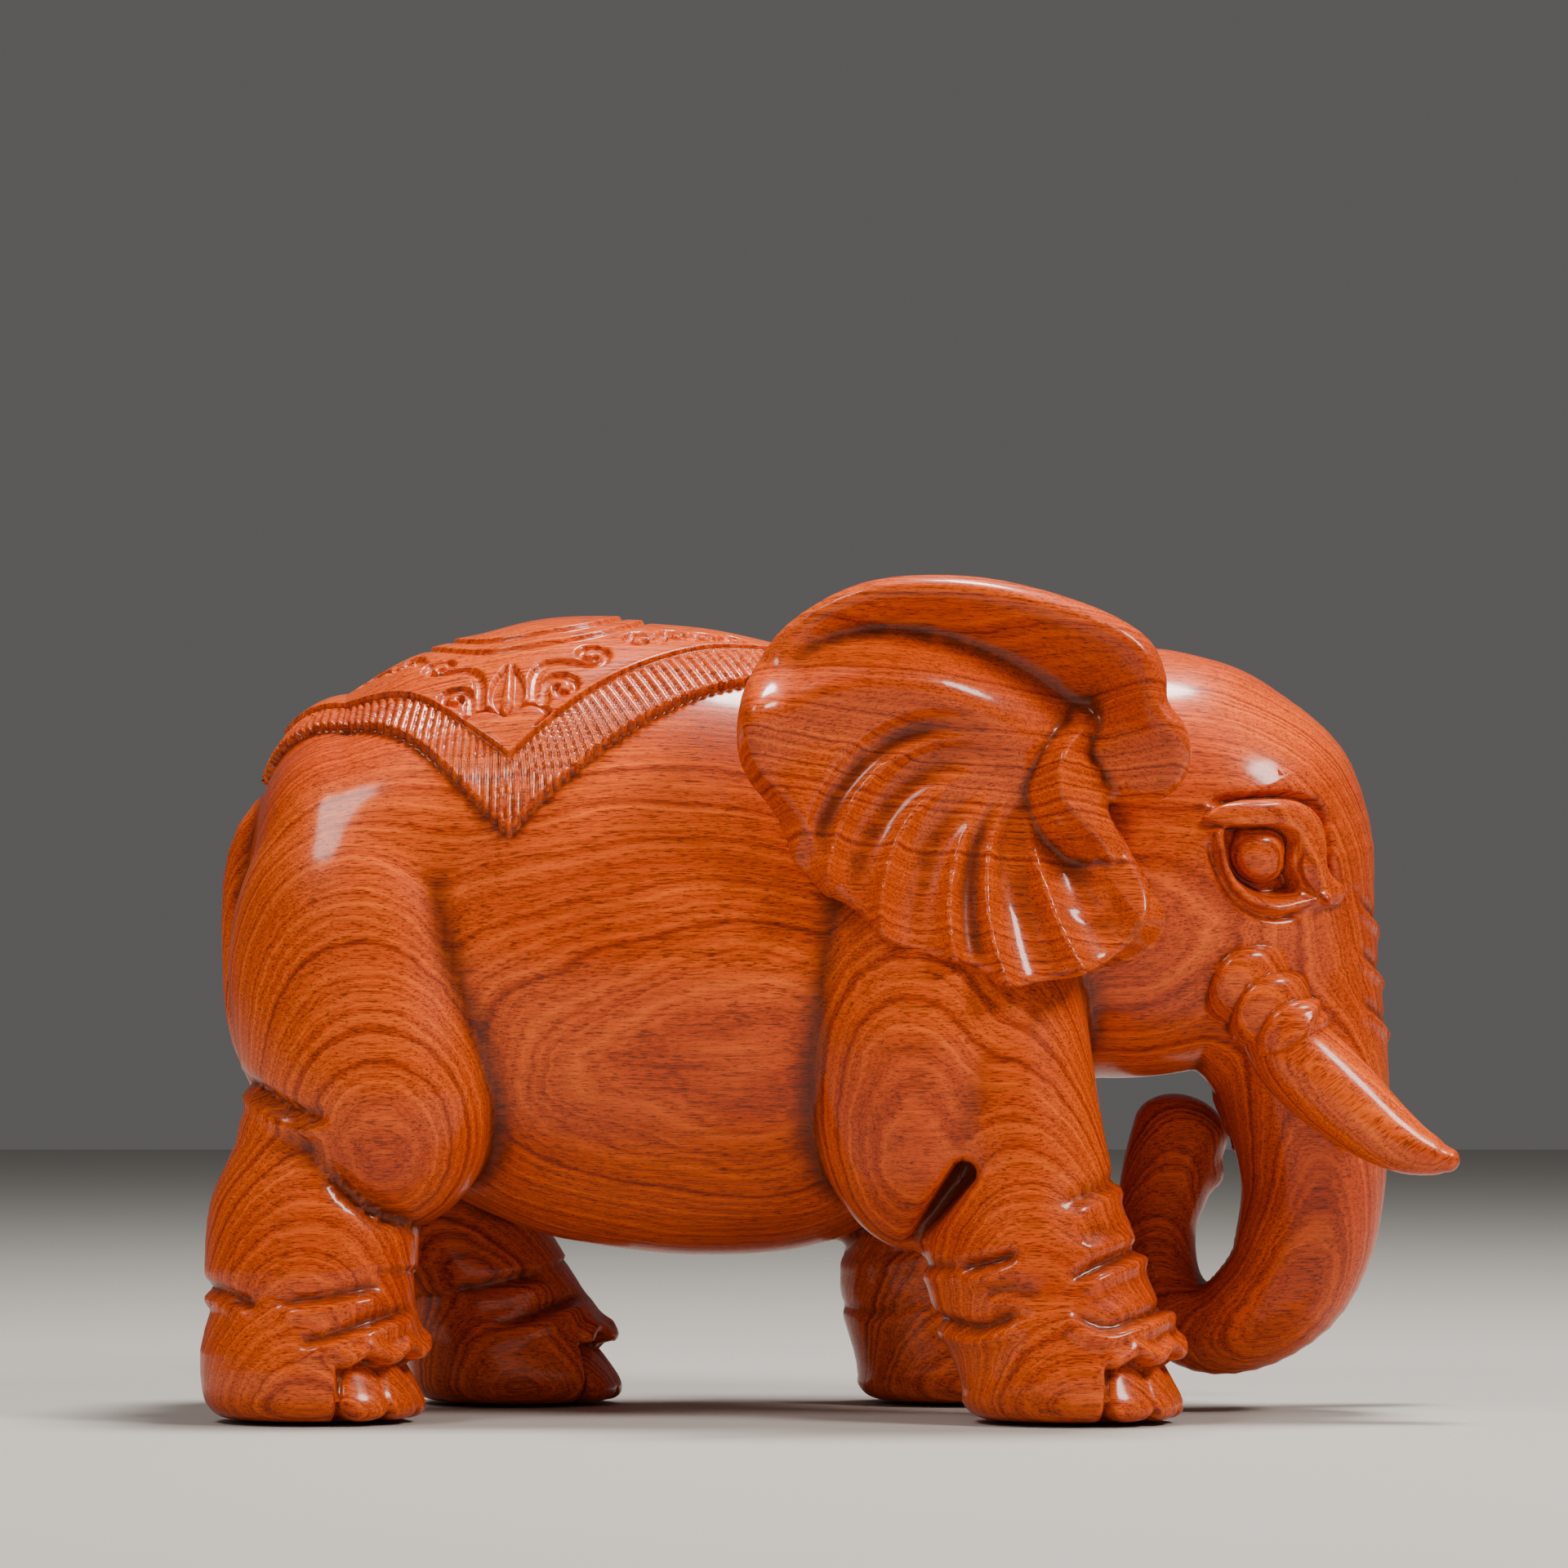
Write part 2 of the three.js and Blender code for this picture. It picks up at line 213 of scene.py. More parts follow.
def closed_spline(corners, steps):
    """A smooth closed outline through the corners."""
    rows = np.asarray(corners, float)
    rows = np.vstack([rows[-1], rows, rows[:2]])
    return np.array([catmull_rom(rows, at) for at in np.arange(steps) * len(corners) / steps])


# ---- From a field to a mesh ----------------------------------------------------------------------
def slopes_of(field, points):
    """The field at each point, its unit gradient and the size of its gradient."""
    here = field(points)
    slope = np.empty_like(points)
    for axis in range(3):
        shifted = points.copy()
        shifted[:, axis] += PROBE
        slope[:, axis] = (field(shifted) - here) / PROBE
    size = np.maximum(np.linalg.norm(slope, axis=1), 0.2)
    return here, slope / size[:, None], size


def press_onto(field, points, rounds, limit):
    """Moves points onto the field's surface, at most limit each round."""
    for _ in range(rounds):
        here, normal, size = slopes_of(field, points)
        points = points - normal * np.clip(here / size, -limit, limit)[:, None]
    return points


def field_grid(field, low, high, step):
    """The field on a grid, worked out finely only near the surface."""
    coarse = 4
    counts = np.ceil((high - low) / (step * coarse)).astype(int) + 1
    axes = [low[k] + step * coarse * np.arange(counts[k]) for k in range(3)]
    grid = np.stack(np.meshgrid(*axes, indexing="ij"), -1).reshape(-1, 3)
    rough = field(grid).reshape(counts)
    fine_counts = (counts - 1) * coarse + 1
    values = rough
    for axis in range(3):
        at = np.arange(fine_counts[axis]) / coarse
        i = np.minimum(at.astype(int), counts[axis] - 2)
        t = (at - i).reshape([-1 if k == axis else 1 for k in range(3)])
        values = np.take(values, i, axis) * (1 - t) + np.take(values, i + 1, axis) * t
    near = np.abs(values) < step * coarse * 1.1
    index = np.argwhere(near)
    values[near] = field(low + index * step)
    return values


def surface_nets(values, low, step):
    """Vertices and quads of the zero surface of a grid of values."""
    inside = values < 0
    shape = np.array(values.shape)
    cells = shape - 1
    total = np.zeros((cells.prod(), 3))
    count = np.zeros(cells.prod())
    quads = []
    for axis in range(3):
        one, two = [k for k in range(3) if k != axis]
        first = [slice(None)] * 3
        second = [slice(None)] * 3
        first[axis] = slice(0, -1)
        second[axis] = slice(1, None)
        crossing = inside[tuple(first)] != inside[tuple(second)]
        at = np.argwhere(crossing)
        at = at[(at[:, one] > 0) & (at[:, two] > 0)
                & (at[:, one] < cells[one]) & (at[:, two] < cells[two])]
        a = values[tuple(at.T)]
        beyond = at.copy()
        beyond[:, axis] += 1
        b = values[tuple(beyond.T)]
        place = at.astype(float)
        place[:, axis] += a / (a - b)
        corners = []
        for d1, d2 in ((0, 0), (1, 0), (1, 1), (0, 1)):
            cell = at.copy()
            cell[:, one] -= d1
            cell[:, two] -= d2
            flat = np.ravel_multi_index(cell.T, cells)
            corners.append(flat)
            for k in range(3):
                total[:, k] += np.bincount(flat, place[:, k], len(total))
            count += np.bincount(flat, minlength=len(count))
        faces = np.stack(corners, 1)
        turned = (a < 0) == (axis == 1)
        faces[turned] = faces[turned][:, ::-1]
        quads.append(faces)
    used = np.flatnonzero(count)
    number = np.full(len(count), -1)
    number[used] = np.arange(len(used))
    vertices = low + step * total[used] / count[used][:, None]
    return vertices, number[np.vstack(quads)]


def bmesh_of(vertices, faces):
    mesh = bpy.data.meshes.new("scratch")
    mesh.from_pydata(vertices.tolist(), [], faces.tolist())
    bm = bmesh.new()
    bm.from_mesh(mesh)
    bpy.data.meshes.remove(mesh)
    return bm


def coordinates(bm):
    return np.array([v.co[:] for v in bm.verts])


def refine(bm, fine):
    """Cuts each face whose corners are all in the fine region into four."""
    chosen = fine(coordinates(bm))
    edges = {e for f in bm.faces if all(chosen[v.index] for v in f.verts) for e in f.edges}
    bmesh.ops.subdivide_edges(bm, edges=list(edges), cuts=1, use_grid_fill=True)
    bm.verts.index_update()
    bm.verts.ensure_lookup_table()


def carve(name, field, low, high, step, fine_regions=(), relief=None):
    """Makes the object whose surface is the field's, with relief added along its normals."""
    low, high = np.asarray(low, float), np.asarray(high, float)
    vertices, quads = surface_nets(field_grid(field, low, high, step), low, step)
    vertices = press_onto(field, vertices, 2, step)
    bm = bmesh_of(vertices, quads)
    for level, fine in enumerate(fine_regions):
        before = len(bm.verts)
        refine(bm, fine)
        points = coordinates(bm)
        points[before:] = press_onto(field, points[before:], 1, step / 2 ** level)
        for v, co in zip(bm.verts, points):
            v.co = co
    points = coordinates(bm)
    if relief is not None:
        bm.normal_update()
        normal = np.array([v.normal[:] for v in bm.verts])
        points = points + normal * relief(points)[:, None]
    for v, co in zip(bm.verts, points * MM):
        v.co = co
    mesh = bpy.data.meshes.new(name)
    bm.to_mesh(mesh)
    bm.free()
    mesh.shade_smooth()
    made = bpy.data.objects.new(name, mesh)
    bpy.context.scene.collection.objects.link(made)
    return made


# ---- The block: torso, head, trunk and legs ------------------------------------------------------
def mirrored(points):
    """Every point folded over to the left side."""
    folded = points.copy()
    folded[:, 1] = np.abs(folded[:, 1])
    return folded


TORSO = [  # x, y, z, half-height and half-width of the section at each station
    (-116, 0, 121, 50.5, 40),
    (-100, 0, 119.5, 61.3, 47.5),
    (-84, 0, 117.0, 67.7, 51.5),
    (-64, 0, 115.5, 73.3, 53),
    (-32, 0, 113, 74.7, 53),
    (0, 0, 111.5, 70, 50),
    (26, 0, 120, 63, 45),
    (50, 0, 130, 52, 39),
    (66, 0, 134, 46, 35),
]
TRUNK = [
    (80, 0, 173.5, 8, 8),
    (85.5, 0, 161, 24, 24),
    (92.5, 0, 147, 34.5, 33),
    (99.2, 0, 133, 34.5, 31.5),
    (103.8, 0, 118.5, 30.7, 28.5),
    (108.4, 0, 105, 27, 25.5),
    (113, 0, 92, 23.3, 23),
    (116.1, 0, 78.5, 20.8, 21),
    (117.8, 0, 65.2, 18.7, 19),
    (118, 0, 54, 17.4, 17.5),
    (116.1, 0, 42.6, 16.8, 16.5),
    (111.5, 0.5, 31.8, 15.5, 15.5),
    (102.8, 2, 23.7, 13.4, 13.5),
    (93.7, 5, 20.4, 11.3, 12),
    (86.2, 9, 23.2, 10.5, 11.3),
    (81.3, 13, 31.4, 10.2, 10.5),
    (80.6, 15.5, 44.7, 10, 10),
    (83.6, 17.5, 57, 11.3, 10.5),
    (87, 18.5, 68, 11.8, 10.5),
]
TAIL = [
    (-126, 0, 152, 5, 7),
    (-137.5, 0, 143.5, 5, 7),
    (-142.6, 0, 130, 4.8, 7),
    (-143, 0, 108, 4.6, 7),
    (-141.5, 0, 93, 4.4, 7.5),
    (-137, 0, 80, 3.5, 6),
]


def torso_section(x):
    """Middle height, half-height and half-width of the torso at each x."""
    profile = spline(TORSO, 160)
    return [np.interp(x, profile[:, 0], profile[:, k]) for k in (2, 3, 4)]


def torso(p):
    x = np.clip(p[:, 0], TORSO[0][0], TORSO[-1][0])
    middle, depth, width = torso_section(x)
    offset = np.stack([p[:, 0] - x, p[:, 1], p[:, 2] - middle], 1)
    return oval_distance(offset, np.stack([np.full(len(p), 26.0), width, depth], 1))


def head(p):
    """Skull, cheeks and the trunk that turns up beside the chin. Takes unfolded points."""
    folded = mirrored(p)
    skull = ellipsoid(folded, (83.5, 0, 141), (42.5, 38, 43.5))
    jaw = ellipsoid(folded, (81, 0, 113.5), (36, 31, 31))
    trunk = limb(p, TRUNK, steps=60, cap=9)
    finger = ellipsoid(p, (94.4, 18, 57.5), (3.2, 4, 3.2))
    total = smooth_min(skull, jaw, 16)
    chin = step_between(p[:, 0], 86, 94) * step_between(p[:, 2], 50, 80) * (1 - step_between(p[:, 1], 3, 9))
    total = smooth_min(total, trunk, 1.0 + 8 * np.maximum(chin, step_between(p[:, 2], 84, 92)))
    return smooth_min(total, finger, 3)


SHEATH_TOP = np.array([96.0, 24.8, 108.6])  # the ends of the axis of each tusk's sheath
SHEATH_END = np.array([112.4, 28.6, 90.2])
RING = 8.4  # from one ring of the sheath to the next
FIRST_RING = -1.8  # where the first ring starts, along the axis
SHEATH_LIP = 24.4  # where the last ring ends


def sheath(folded):
    """Three rings, each bulging over the one above it along an arched crease."""
    axis = (SHEATH_END - SHEATH_TOP)[[0, 2]]
    length = np.linalg.norm(axis)
    axis /= length
    offset = folded[:, [0, 2]] - SHEATH_TOP[[0, 2]]
    along = offset @ axis
    across = offset @ np.array([-axis[1], axis[0]])
    turn = np.maximum((along - 0.045 * across ** 2 - FIRST_RING) / RING, 0)
    part = np.where(turn < 2, turn % 1.0, np.minimum(turn - 2, 0.45))
    past = along + 0.025 * across ** 2 - SHEATH_LIP
    bulge = np.sin(math.pi * part ** 0.48) * (1 - step_between(past, -1.4, 0))
    tube = limb(folded, [(*SHEATH_TOP, 9.4, 8.2), (*SHEATH_END, 9.4, 8.6)], steps=6, cap=3)
    return tube - 1.8 * bulge * (np.abs(tube) < 12)


def hind_leg(p):
    """The right hind leg, folded over to the left side."""
    thigh = ellipsoid(p, (-111.5, 31, 107), (32, 25.5, 47))
    knee = ellipsoid(p, (-104, 33.5, 73.5), (23, 24, 27.8))
    shank = limb(p, [
        (-122.5, 34, 67, 18.5, 17.5),
        (-122.5, 34, 53, 24.5, 20),
        (-123.3, 35, 36, 25.3, 21.5),
        (-122.5, 35.5, 29, 24, 21),
        (-122.5, 36, 17, 27, 23.5),
        (-122, 36, 5, 26.5, 23.5),
        (-122, 36, -6, 25.5, 22.5),
    ], steps=18, cap=16)
    haunch = smooth_min(thigh, knee, 22)
    saddle = np.hypot(p[:, 0] + 114, p[:, 2] - 66)  # between the creases above and below the knee
    return smooth_min(haunch, shank, 0.9 + 7 * hump(saddle, 5))


def front_leg(p):
    """The right front leg, folded over to the left side."""
    upper = ellipsoid(p, (21, 35, 97), (29.5, 23, 56.5))
    column = limb(p, [
        (38, 31, 106, 22, 20),
        (41, 33, 88, 21.5, 21),
        (43.5, 35, 70, 21.5, 21),
        (46, 36, 55, 22, 20.5),
        (47.5, 37.5, 41, 25.3, 22),
        (50, 38, 31, 25.2, 21.7),
        (54.5, 38.5, 20, 25.3, 23),
        (57.5, 39, 11, 27, 24),
        (58, 39, 3, 26.5, 23.5),
        (58, 39, -6, 25.5, 22.5),
    ], steps=22)
    slot = limb(p, [(32, 51, 59.5, 3.0, 9), (26.5, 50, 52, 2.7, 9), (19, 49, 42, 1.8, 9)], steps=6, cap=2.6)
    total = smooth_min(upper, column, 3.5)
    return smooth_max(total, -slot, 2.4)


NAIL_TURNS = (57, 29, 1, -27)  # degrees round from straight ahead, outwards
FOOT_SIZE = (27.0, 24.0)  # half-length and half-width of a sole
NAIL_TOP = 15.0


def foot_carving(total, p, foot_x, foot_y):
    """Sets the toenails in a shallow recess round the front of a foot, under a fold of skin."""
    ahead = (p[:, 0] - foot_x) / FOOT_SIZE[0]
    outward = (p[:, 1] - foot_y) / FOOT_SIZE[1]
    turn = np.degrees(np.arctan2(outward, ahead))
    front = step_between(turn, -50, -38) * (1 - step_between(turn, 70, 78))
    rim = NAIL_TOP + 1.2 * np.cos(np.radians((turn - NAIL_TURNS[0]) * 360 / 28))
    rim += 0.03 * np.clip(NAIL_TURNS[0] - turn, 0, 60)
    low = 1 - step_between(p[:, 2], rim - 1.4, rim + 0.8)
    outer = step_between(np.hypot(ahead, outward), 0.5, 0.75)
    total = total + 6.8 * front * low * outer
    total = total - 1.7 * front * outer * hump(p[:, 2] - rim - 2.4, 1.9)
    for angle in NAIL_TURNS:
        a = math.radians(angle)
        middle = (foot_x + 20.5 * math.cos(a), foot_y + 18.0 * math.sin(a), 4.0)
        total = smooth_min(total, nail_field(p, middle, a), 0.5)
    return total


def nail_field(points, middle, turn):
    """One wedge-shaped toenail, with a flat face that slopes down and outwards."""
    middle = np.asarray(middle)

    def field(p):
        offset = p - middle
        outward = offset[:, 0] * math.cos(turn) + offset[:, 1] * math.sin(turn)
        across = -offset[:, 0] * math.sin(turn) + offset[:, 1] * math.cos(turn)
        face = (outward + 0.55 * offset[:, 2] + 0.03 * across ** 2 - 6.5) * 0.87
        shape = np.hypot(across, 0.58 * np.maximum(offset[:, 2], 0)) - 6.8
        back = -6 - outward
        return smooth_max(smooth_max(face, shape, 1.6), back, 1)

    return nearby(points, middle - 13, middle + 13, field)


def strided(p, corner, like, top):
    """Points of a left leg moved to where they are on the right leg that it copies."""
    stride = FOOT[corner][0] - FOOT[like][0]
    moved = p.copy()
    moved[:, 0] -= stride * (1 - step_between(p[:, 2], 4, top))
    return moved


def leg_pair(p, leg, end, top):
    """A right leg and its left partner, each one step further on."""
    right, left = "right_" + end, "left_" + end
    folded = mirrored(p)
    own = np.where((p[:, 1] < 0)[:, None], folded, strided(folded, left, right, top))
    return foot_carving(leg(own), own, FOOT[right][0], abs(FOOT[left][1]))


def block(p):
    """The whole one-piece carving, before the pockets for the ears are cut."""
    folded = mirrored(p)
    neck = ellipsoid(folded, (52, 0, 131), (40, 40, 46))
    total = smooth_min(torso(folded), neck, 16)
    total = smooth_min(total, head(p), 12)
    total = smooth_min(total, sheath(folded), 1.6)
    total = smooth_min(total, limb(folded, TAIL, steps=12), 1.6)
    softer = 22 * step_between(p[:, 2], 122, 160)
    total = smooth_min(total, leg_pair(p, hind_leg, "hind", 100), 2.5 + softer)
    total = smooth_min(total, leg_pair(p, front_leg, "front", 112), 2.5 + softer)
    return smooth_max(total, PAD_TOP - p[:, 2], 7)


# ---- Relief on the block -------------------------------------------------------------------------
FOLD = 1.5  # half the width of a skin fold's groove


def fold_relief(flat, path, depth, lip):
    """A skin fold along a path drawn from rear to front: a groove above it and a lip below it."""
    distance, side, way = trace(flat, spline(path, 14), reach=9)
    fade = step_between(way, 0, 0.2) * (1 - step_between(way, 0.8, 1.0))
    groove = -depth * hump(side + FOLD * 0.7, FOLD)
    raised = lip * hump(side - FOLD * 1.1, FOLD * 1.5)
    return np.where(distance < FAR, (groove + raised) * fade, 0.0)


FRONT_FOLDS = [  # each path in x, z on the right front leg, with its depth and lip
    ([(54, 50.5), (59, 52.5), (66, 55.5), (80, 62)], 1.3, 1.3),
    ([(55, 33.5), (59, 34.5), (66, 37.5), (90, 46)], 1.9, 1.7),
    ([(55.5, 29.5), (58.5, 25), (65, 22.5), (73, 24.5), (94, 31)], 1.7, 2.0),
    ([(30, 36), (34, 36.6), (39, 37.8), (45, 40)], 2.8, 1.0),
    ([(8, 37), (22, 36.2), (32, 36.4)], 1.2, 0.6),
    ([(10, 25), (27, 23.2), (36, 22), (47, 27)], 2.0, 1.1),
    ([(36, 30.5), (43, 31), (50, 30)], 0.7, 0.5),
    ([(58, 43), (64, 44), (72, 47)], 0.7, 0.6),
]
HIND_FOLDS = [
    ([(-120, 61), (-114.5, 54.5), (-107, 48.7), (-98, 45.6)], 3.2, 0),
    ([(-152, 84), (-138, 79), (-130, 74.2), (-124, 72), (-115.5, 71.5)], 2.8, 2.2),
    ([(-131, 28), (-124, 28.6), (-117, 29.6), (-104, 32)], 1.7, 1.6),
    ([(-126, 18.5), (-119, 20), (-110, 22.8), (-97, 27)], 2.0, 1.7),
    ([(-162, 31.5), (-148, 31), (-141, 29.5), (-134, 26)], 1.8, 1.0),
]


def folds_relief(p, folds, end, top):
    """The skin folds of both legs at one end, carried onto the left leg by its stride."""
    right, left = "right_" + end, "left_" + end
    own = np.where((p[:, 1] < 0)[:, None], mirrored(p), strided(mirrored(p), left, right, top))
    flat = own[:, [0, 2]]
    foot_x, foot_y = FOOT[right][0], abs(FOOT[right][1])
    radius = np.hypot(own[:, 0] - foot_x, own[:, 1] - foot_y)
    on_leg = (radius < 60) & (own[:, 2] < 90)
    out = np.zeros(len(p))
    for path, depth, lip in folds:
        out[on_leg] += fold_relief(flat[on_leg], path, depth, lip)
    calmer = (p[:, 1] > 0) & (own[:, 0] < foot_x - 5)
    return out * step_between(own[:, 1], foot_y - 28, foot_y - 16) * np.where(calmer, 0.3, 1)


EYE = (105.3, 135.0)  # x, z of the middle of each eye; the outlines below are measured from it
LID = [(-15.5, 8.4), (-10, 9.5), (-4.8, 9.9), (3.6, 9.9), (8.6, 7.1), (10.2, 1.5), (10.6, -4), (14.6, -8.8)]
LID_GROOVE = [(-16.2, 12), (-10, 13.1), (-4.2, 13.7), (6, 14), (12.2, 11.6), (14.4, 5), (14.8, -2),
              (17, -8)]
LOWER_LID = [(-13.4, 7), (-12, 1), (-10.4, -4.4), (-6.6, -9.3), (0.6, -12.6), (8, -11.3), (14.5, -9.8)]
LOWER_GROOVE = [(-14.6, 4), (-13.6, -2), (-9.6, -9), (-5, -13.4), (1.6, -15.2), (9, -14)]
SOCKET = [(-10.6, 6.2), (-10.8, 0), (-8.2, -6), (-3.6, -9.4), (1, -10.8), (6.6, -9.6), (7.9, -6.6),
          (5.8, -2), (5.9, 4), (2, 6.7), (-4, 6.8)]
EYEBALL = (-0.4, 0.3, 7.8)  # x, z and radius


def ribbon(flat, path, half_width, height):
    """A broad ridge with a slightly rounded top, that narrows to a point at its start."""
    distance, _, way = trace(flat, spline(path, 28))
    half = half_width * np.sqrt(np.clip(way / 0.2, 0.02, 1))
    crown = 1 - 0.25 * np.clip(distance / half_width, 0, 1) ** 2
    return height * crown * (1 - step_between(distance, half - 0.5, half + 0.5))


def line_relief(flat, path, height, width, blunt=0.12):
    """A rounded ridge or groove that fades out at its two ends."""
    distance, _, way = trace(flat, spline(path, 28))
    fade = step_between(way, 0, blunt) * (1 - step_between(way, 1 - blunt, 1))
    return height * hump(distance, width) * fade


def eye_relief(folded):
    """A bulging eye in a deep socket, under a heavy upper lid with a groove round it."""
    out = np.zeros(len(folded))
    near = (np.hypot(folded[:, 0] - EYE[0], folded[:, 2] - EYE[1]) < 24) & (folded[:, 1] > 6)
    flat = folded[near][:, [0, 2]] - EYE
    socket = outline_distance(flat, closed_spline(SOCKET, 50))
    relief = -5.4 * (1 - step_between(socket, -1.0, 0.35))
    relief -= 0.8 * hump(socket + 1.6, 1.2)
    x, z, radius = EYEBALL
    around = np.hypot(flat[:, 0] - x, flat[:, 1] - z) / radius
    ball = 5.2 * np.sqrt(np.clip(1 - around ** 2, 0, 1)) * (socket < -0.4)
    relief += ball * (1 - step_between(socket, -1.2, -0.3))
    relief += ribbon(flat, LID, 3.3, 2.4)
    relief += line_relief(flat, LID_GROOVE, -2.9, 1.05)
    relief += line_relief(flat, LOWER_LID, 1.8, 1.5, 0.06)
    relief += line_relief(flat, LOWER_GROOVE, -1.2, 1.1)
    out[near] = relief
    return out


TRUNK_WRINKLES = (117.0, 104.5, 92.0)  # heights of the small folds across the front of the trunk


def trunk_relief(folded):
    ahead = step_between(folded[:, 0], 118, 128)
    middle = 1 - step_between(folded[:, 1], 10, 20)
    out = np.zeros(len(folded))
    for height in TRUNK_WRINKLES:
        across = folded[:, 2] - height - 0.02 * folded[:, 1] ** 2
        out += 1.1 * hump(across, 1.7) - 0.8 * hump(across - 3, 1.5)
    return out * ahead * middle


# ---- The saddle cloth ----------------------------------------------------------------------------
CLOTH_HEIGHT = 2.2
FIELD_RISE = 1.2  # the middle of the cloth stands this much above its fringe
SCROLL_DEPTH = 1.5
TERRACE = 0.75  # height of each of the two tiers on top
TIER_INSET = 5.2  # the upper tier's edge stands this far inside the lower one's
STRAND = 2.6  # from one fringe groove to the next
CLOTH_TIP = (-75.6, 77.0)  # the point on the flank, in cloth coordinates
CLOTH_ROUND = 62.0  # millimetres of cloth per radian round the back
RUMP_X = -100.0  # the cloth turns down over the rump behind here
RUMP_ROUND = 57.0  # millimetres of cloth per radian down the rump
CLOTH_LOWEST = 125.0  # no part of the cloth is lower than this height
CLOTH_FOREMOST = 45.0  # or further forwards than this x


def cloth_coordinates(folded):
    """Position on the cloth: u along the back and down over the rump, v from the spine outwards."""
    middle, depth, width = torso_section(folded[:, 0])
    up = (folded[:, 2] - middle) / depth
    out = folded[:, 1] / width
    angle = np.arctan2(out, up)
    behind = np.maximum(RUMP_X - folded[:, 0], 0)
    droop = np.arctan2(behind, depth * np.hypot(up, out))
    u = np.maximum(folded[:, 0], RUMP_X) - RUMP_ROUND * droop
    v = CLOTH_ROUND * angle * np.cos(droop)
    return np.stack([u, v], 1)


CLOTH_REAR = [CLOTH_TIP, (-84.3, 68.7), (-97, 56.4), (-110, 42.5), (-122, 32), (-133, 22), (-149, 0)]
CLOTH_FRONT = [CLOTH_TIP, (-66.9, 68.6), (-44.7, 49.6), (-20, 32.5), (4, 17.5), (20, 0)]


def fringe_width(flat):
    """Width of the fringed border, which grows a little towards the front."""
    return np.clip(12.3 + 0.035 * (flat[:, 0] + 80), 11, 14)


def cloth_outline():
    rear, front = spline(CLOTH_REAR, 20), spline(CLOTH_FRONT, 24)
    half = np.vstack([rear[::-1], front[1:]])
    return np.vstack([half, half[::-1][1:-1] * (1, -1)])


def fringe_phase(flat, inward):
    """Distance along the edge from the tip, leaned so that the strands hang straight near the tip."""
    nearest = np.full(len(flat), FAR * 2)
    phase = np.zeros(len(flat))
    for corners, far_lean in ((CLOTH_REAR, 0.85), (CLOTH_FRONT, 0.1)):
        path = spline(corners, 24)
        length = np.linalg.norm(np.diff(path, axis=0), axis=1).sum()
        distance, _, way = trace(flat, path, reach=20)
        closer = distance < nearest
        along = way * length
        lean = 0.95 + (far_lean - 0.95) * step_between(along, 4, 42)
        nearest[closer] = distance[closer]
        phase[closer] = (along - lean * inward)[closer]
    return phase


def scroll(stem, centre, radius, start, turns, hand):
    """A stem that runs into a spiral, which winds inwards round a knob at its centre.

    The start of the spiral is in degrees, and hand is 1 for anticlockwise.
    """
    way = np.linspace(0, 1, 22)
    angle = np.radians(start) + hand * way * turns * 2 * math.pi
    reach = radius * (1 - 0.6 * way)
    curl = np.stack([centre[0] + reach * np.cos(angle), centre[1] - reach * np.sin(angle)], 1)
    if not stem:
        return curl
    return np.vstack([spline(stem + [tuple(curl[0])], 12)[:-1], curl])


SCROLLS = [
    scroll([(-84.9, 47.4), (-85, 42.5)], (-89, 41.2), 3.9, 10, 1.0, 1),
    scroll([(-83.1, 46.8), (-82.8, 40.7), (-83, 35.7), (-84.6, 31.2), (-87.9, 29.3)],
           (-92.3, 25.3), 4.2, 280, 1.05, -1),
    scroll([(-68, 47.4), (-67.6, 42.5)], (-63.4, 41.6), 4.0, 165, 1.0, -1),
    scroll([(-69.6, 46.8), (-70, 40.7), (-69.3, 35.7), (-66.8, 33.1), (-62.3, 33.2)],
           (-57.1, 29.9), 4.4, 262, 1.15, 1),
    scroll([], (-45.8, 21.8), 4.2, 330, 1.1, 1),
    scroll([(-41.5, 23), (-40.5, 20)], (-37.2, 17.5), 3.4, 200, 1.0, -1),
    scroll([(-34, 20.5), (-33, 18.5)], (-30.2, 16.8), 3.0, 190, 1.0, -1),
    scroll([(-27, 18.5), (-26, 17)], (-23.3, 14.5), 2.8, 190, 1.0, -1),
    scroll([(-97, 22), (-98, 18)], (-101.5, 15.5), 3.6, 20, 1.0, 1),
    scroll([(-105.5, 14), (-106.5, 10.5)], (-110, 8.5), 3.2, 20, 1.0, 1),
]
HEART = [(-76.8, 58.9), (-84.6, 51), (-85.8, 48.9), (-82.6, 46.9), (-79.2, 47.8), (-76.6, 49.4),
         (-74, 47.9), (-70.6, 47.2), (-67.7, 49.1), (-68.8, 51)]
PETALS = [
    [(-77.1, 48.3), (-76.9, 40), (-76.3, 31), (-78.2, 33.3), (-80.2, 38), (-80.6, 43), (-79, 47)],
    [(-75.7, 48.3), (-75.4, 40), (-75.5, 31), (-73.8, 34), (-72.3, 38.5), (-71.9, 43), (-73.2, 47)],
]
BUD = [(-76.5, 48.8), (-77.9, 45), (-76.5, 40.5), (-75, 45)]
MEDALLION = (-70.5, 25.5, 24.4)  # u of its middle, and its half-sizes along and across the back


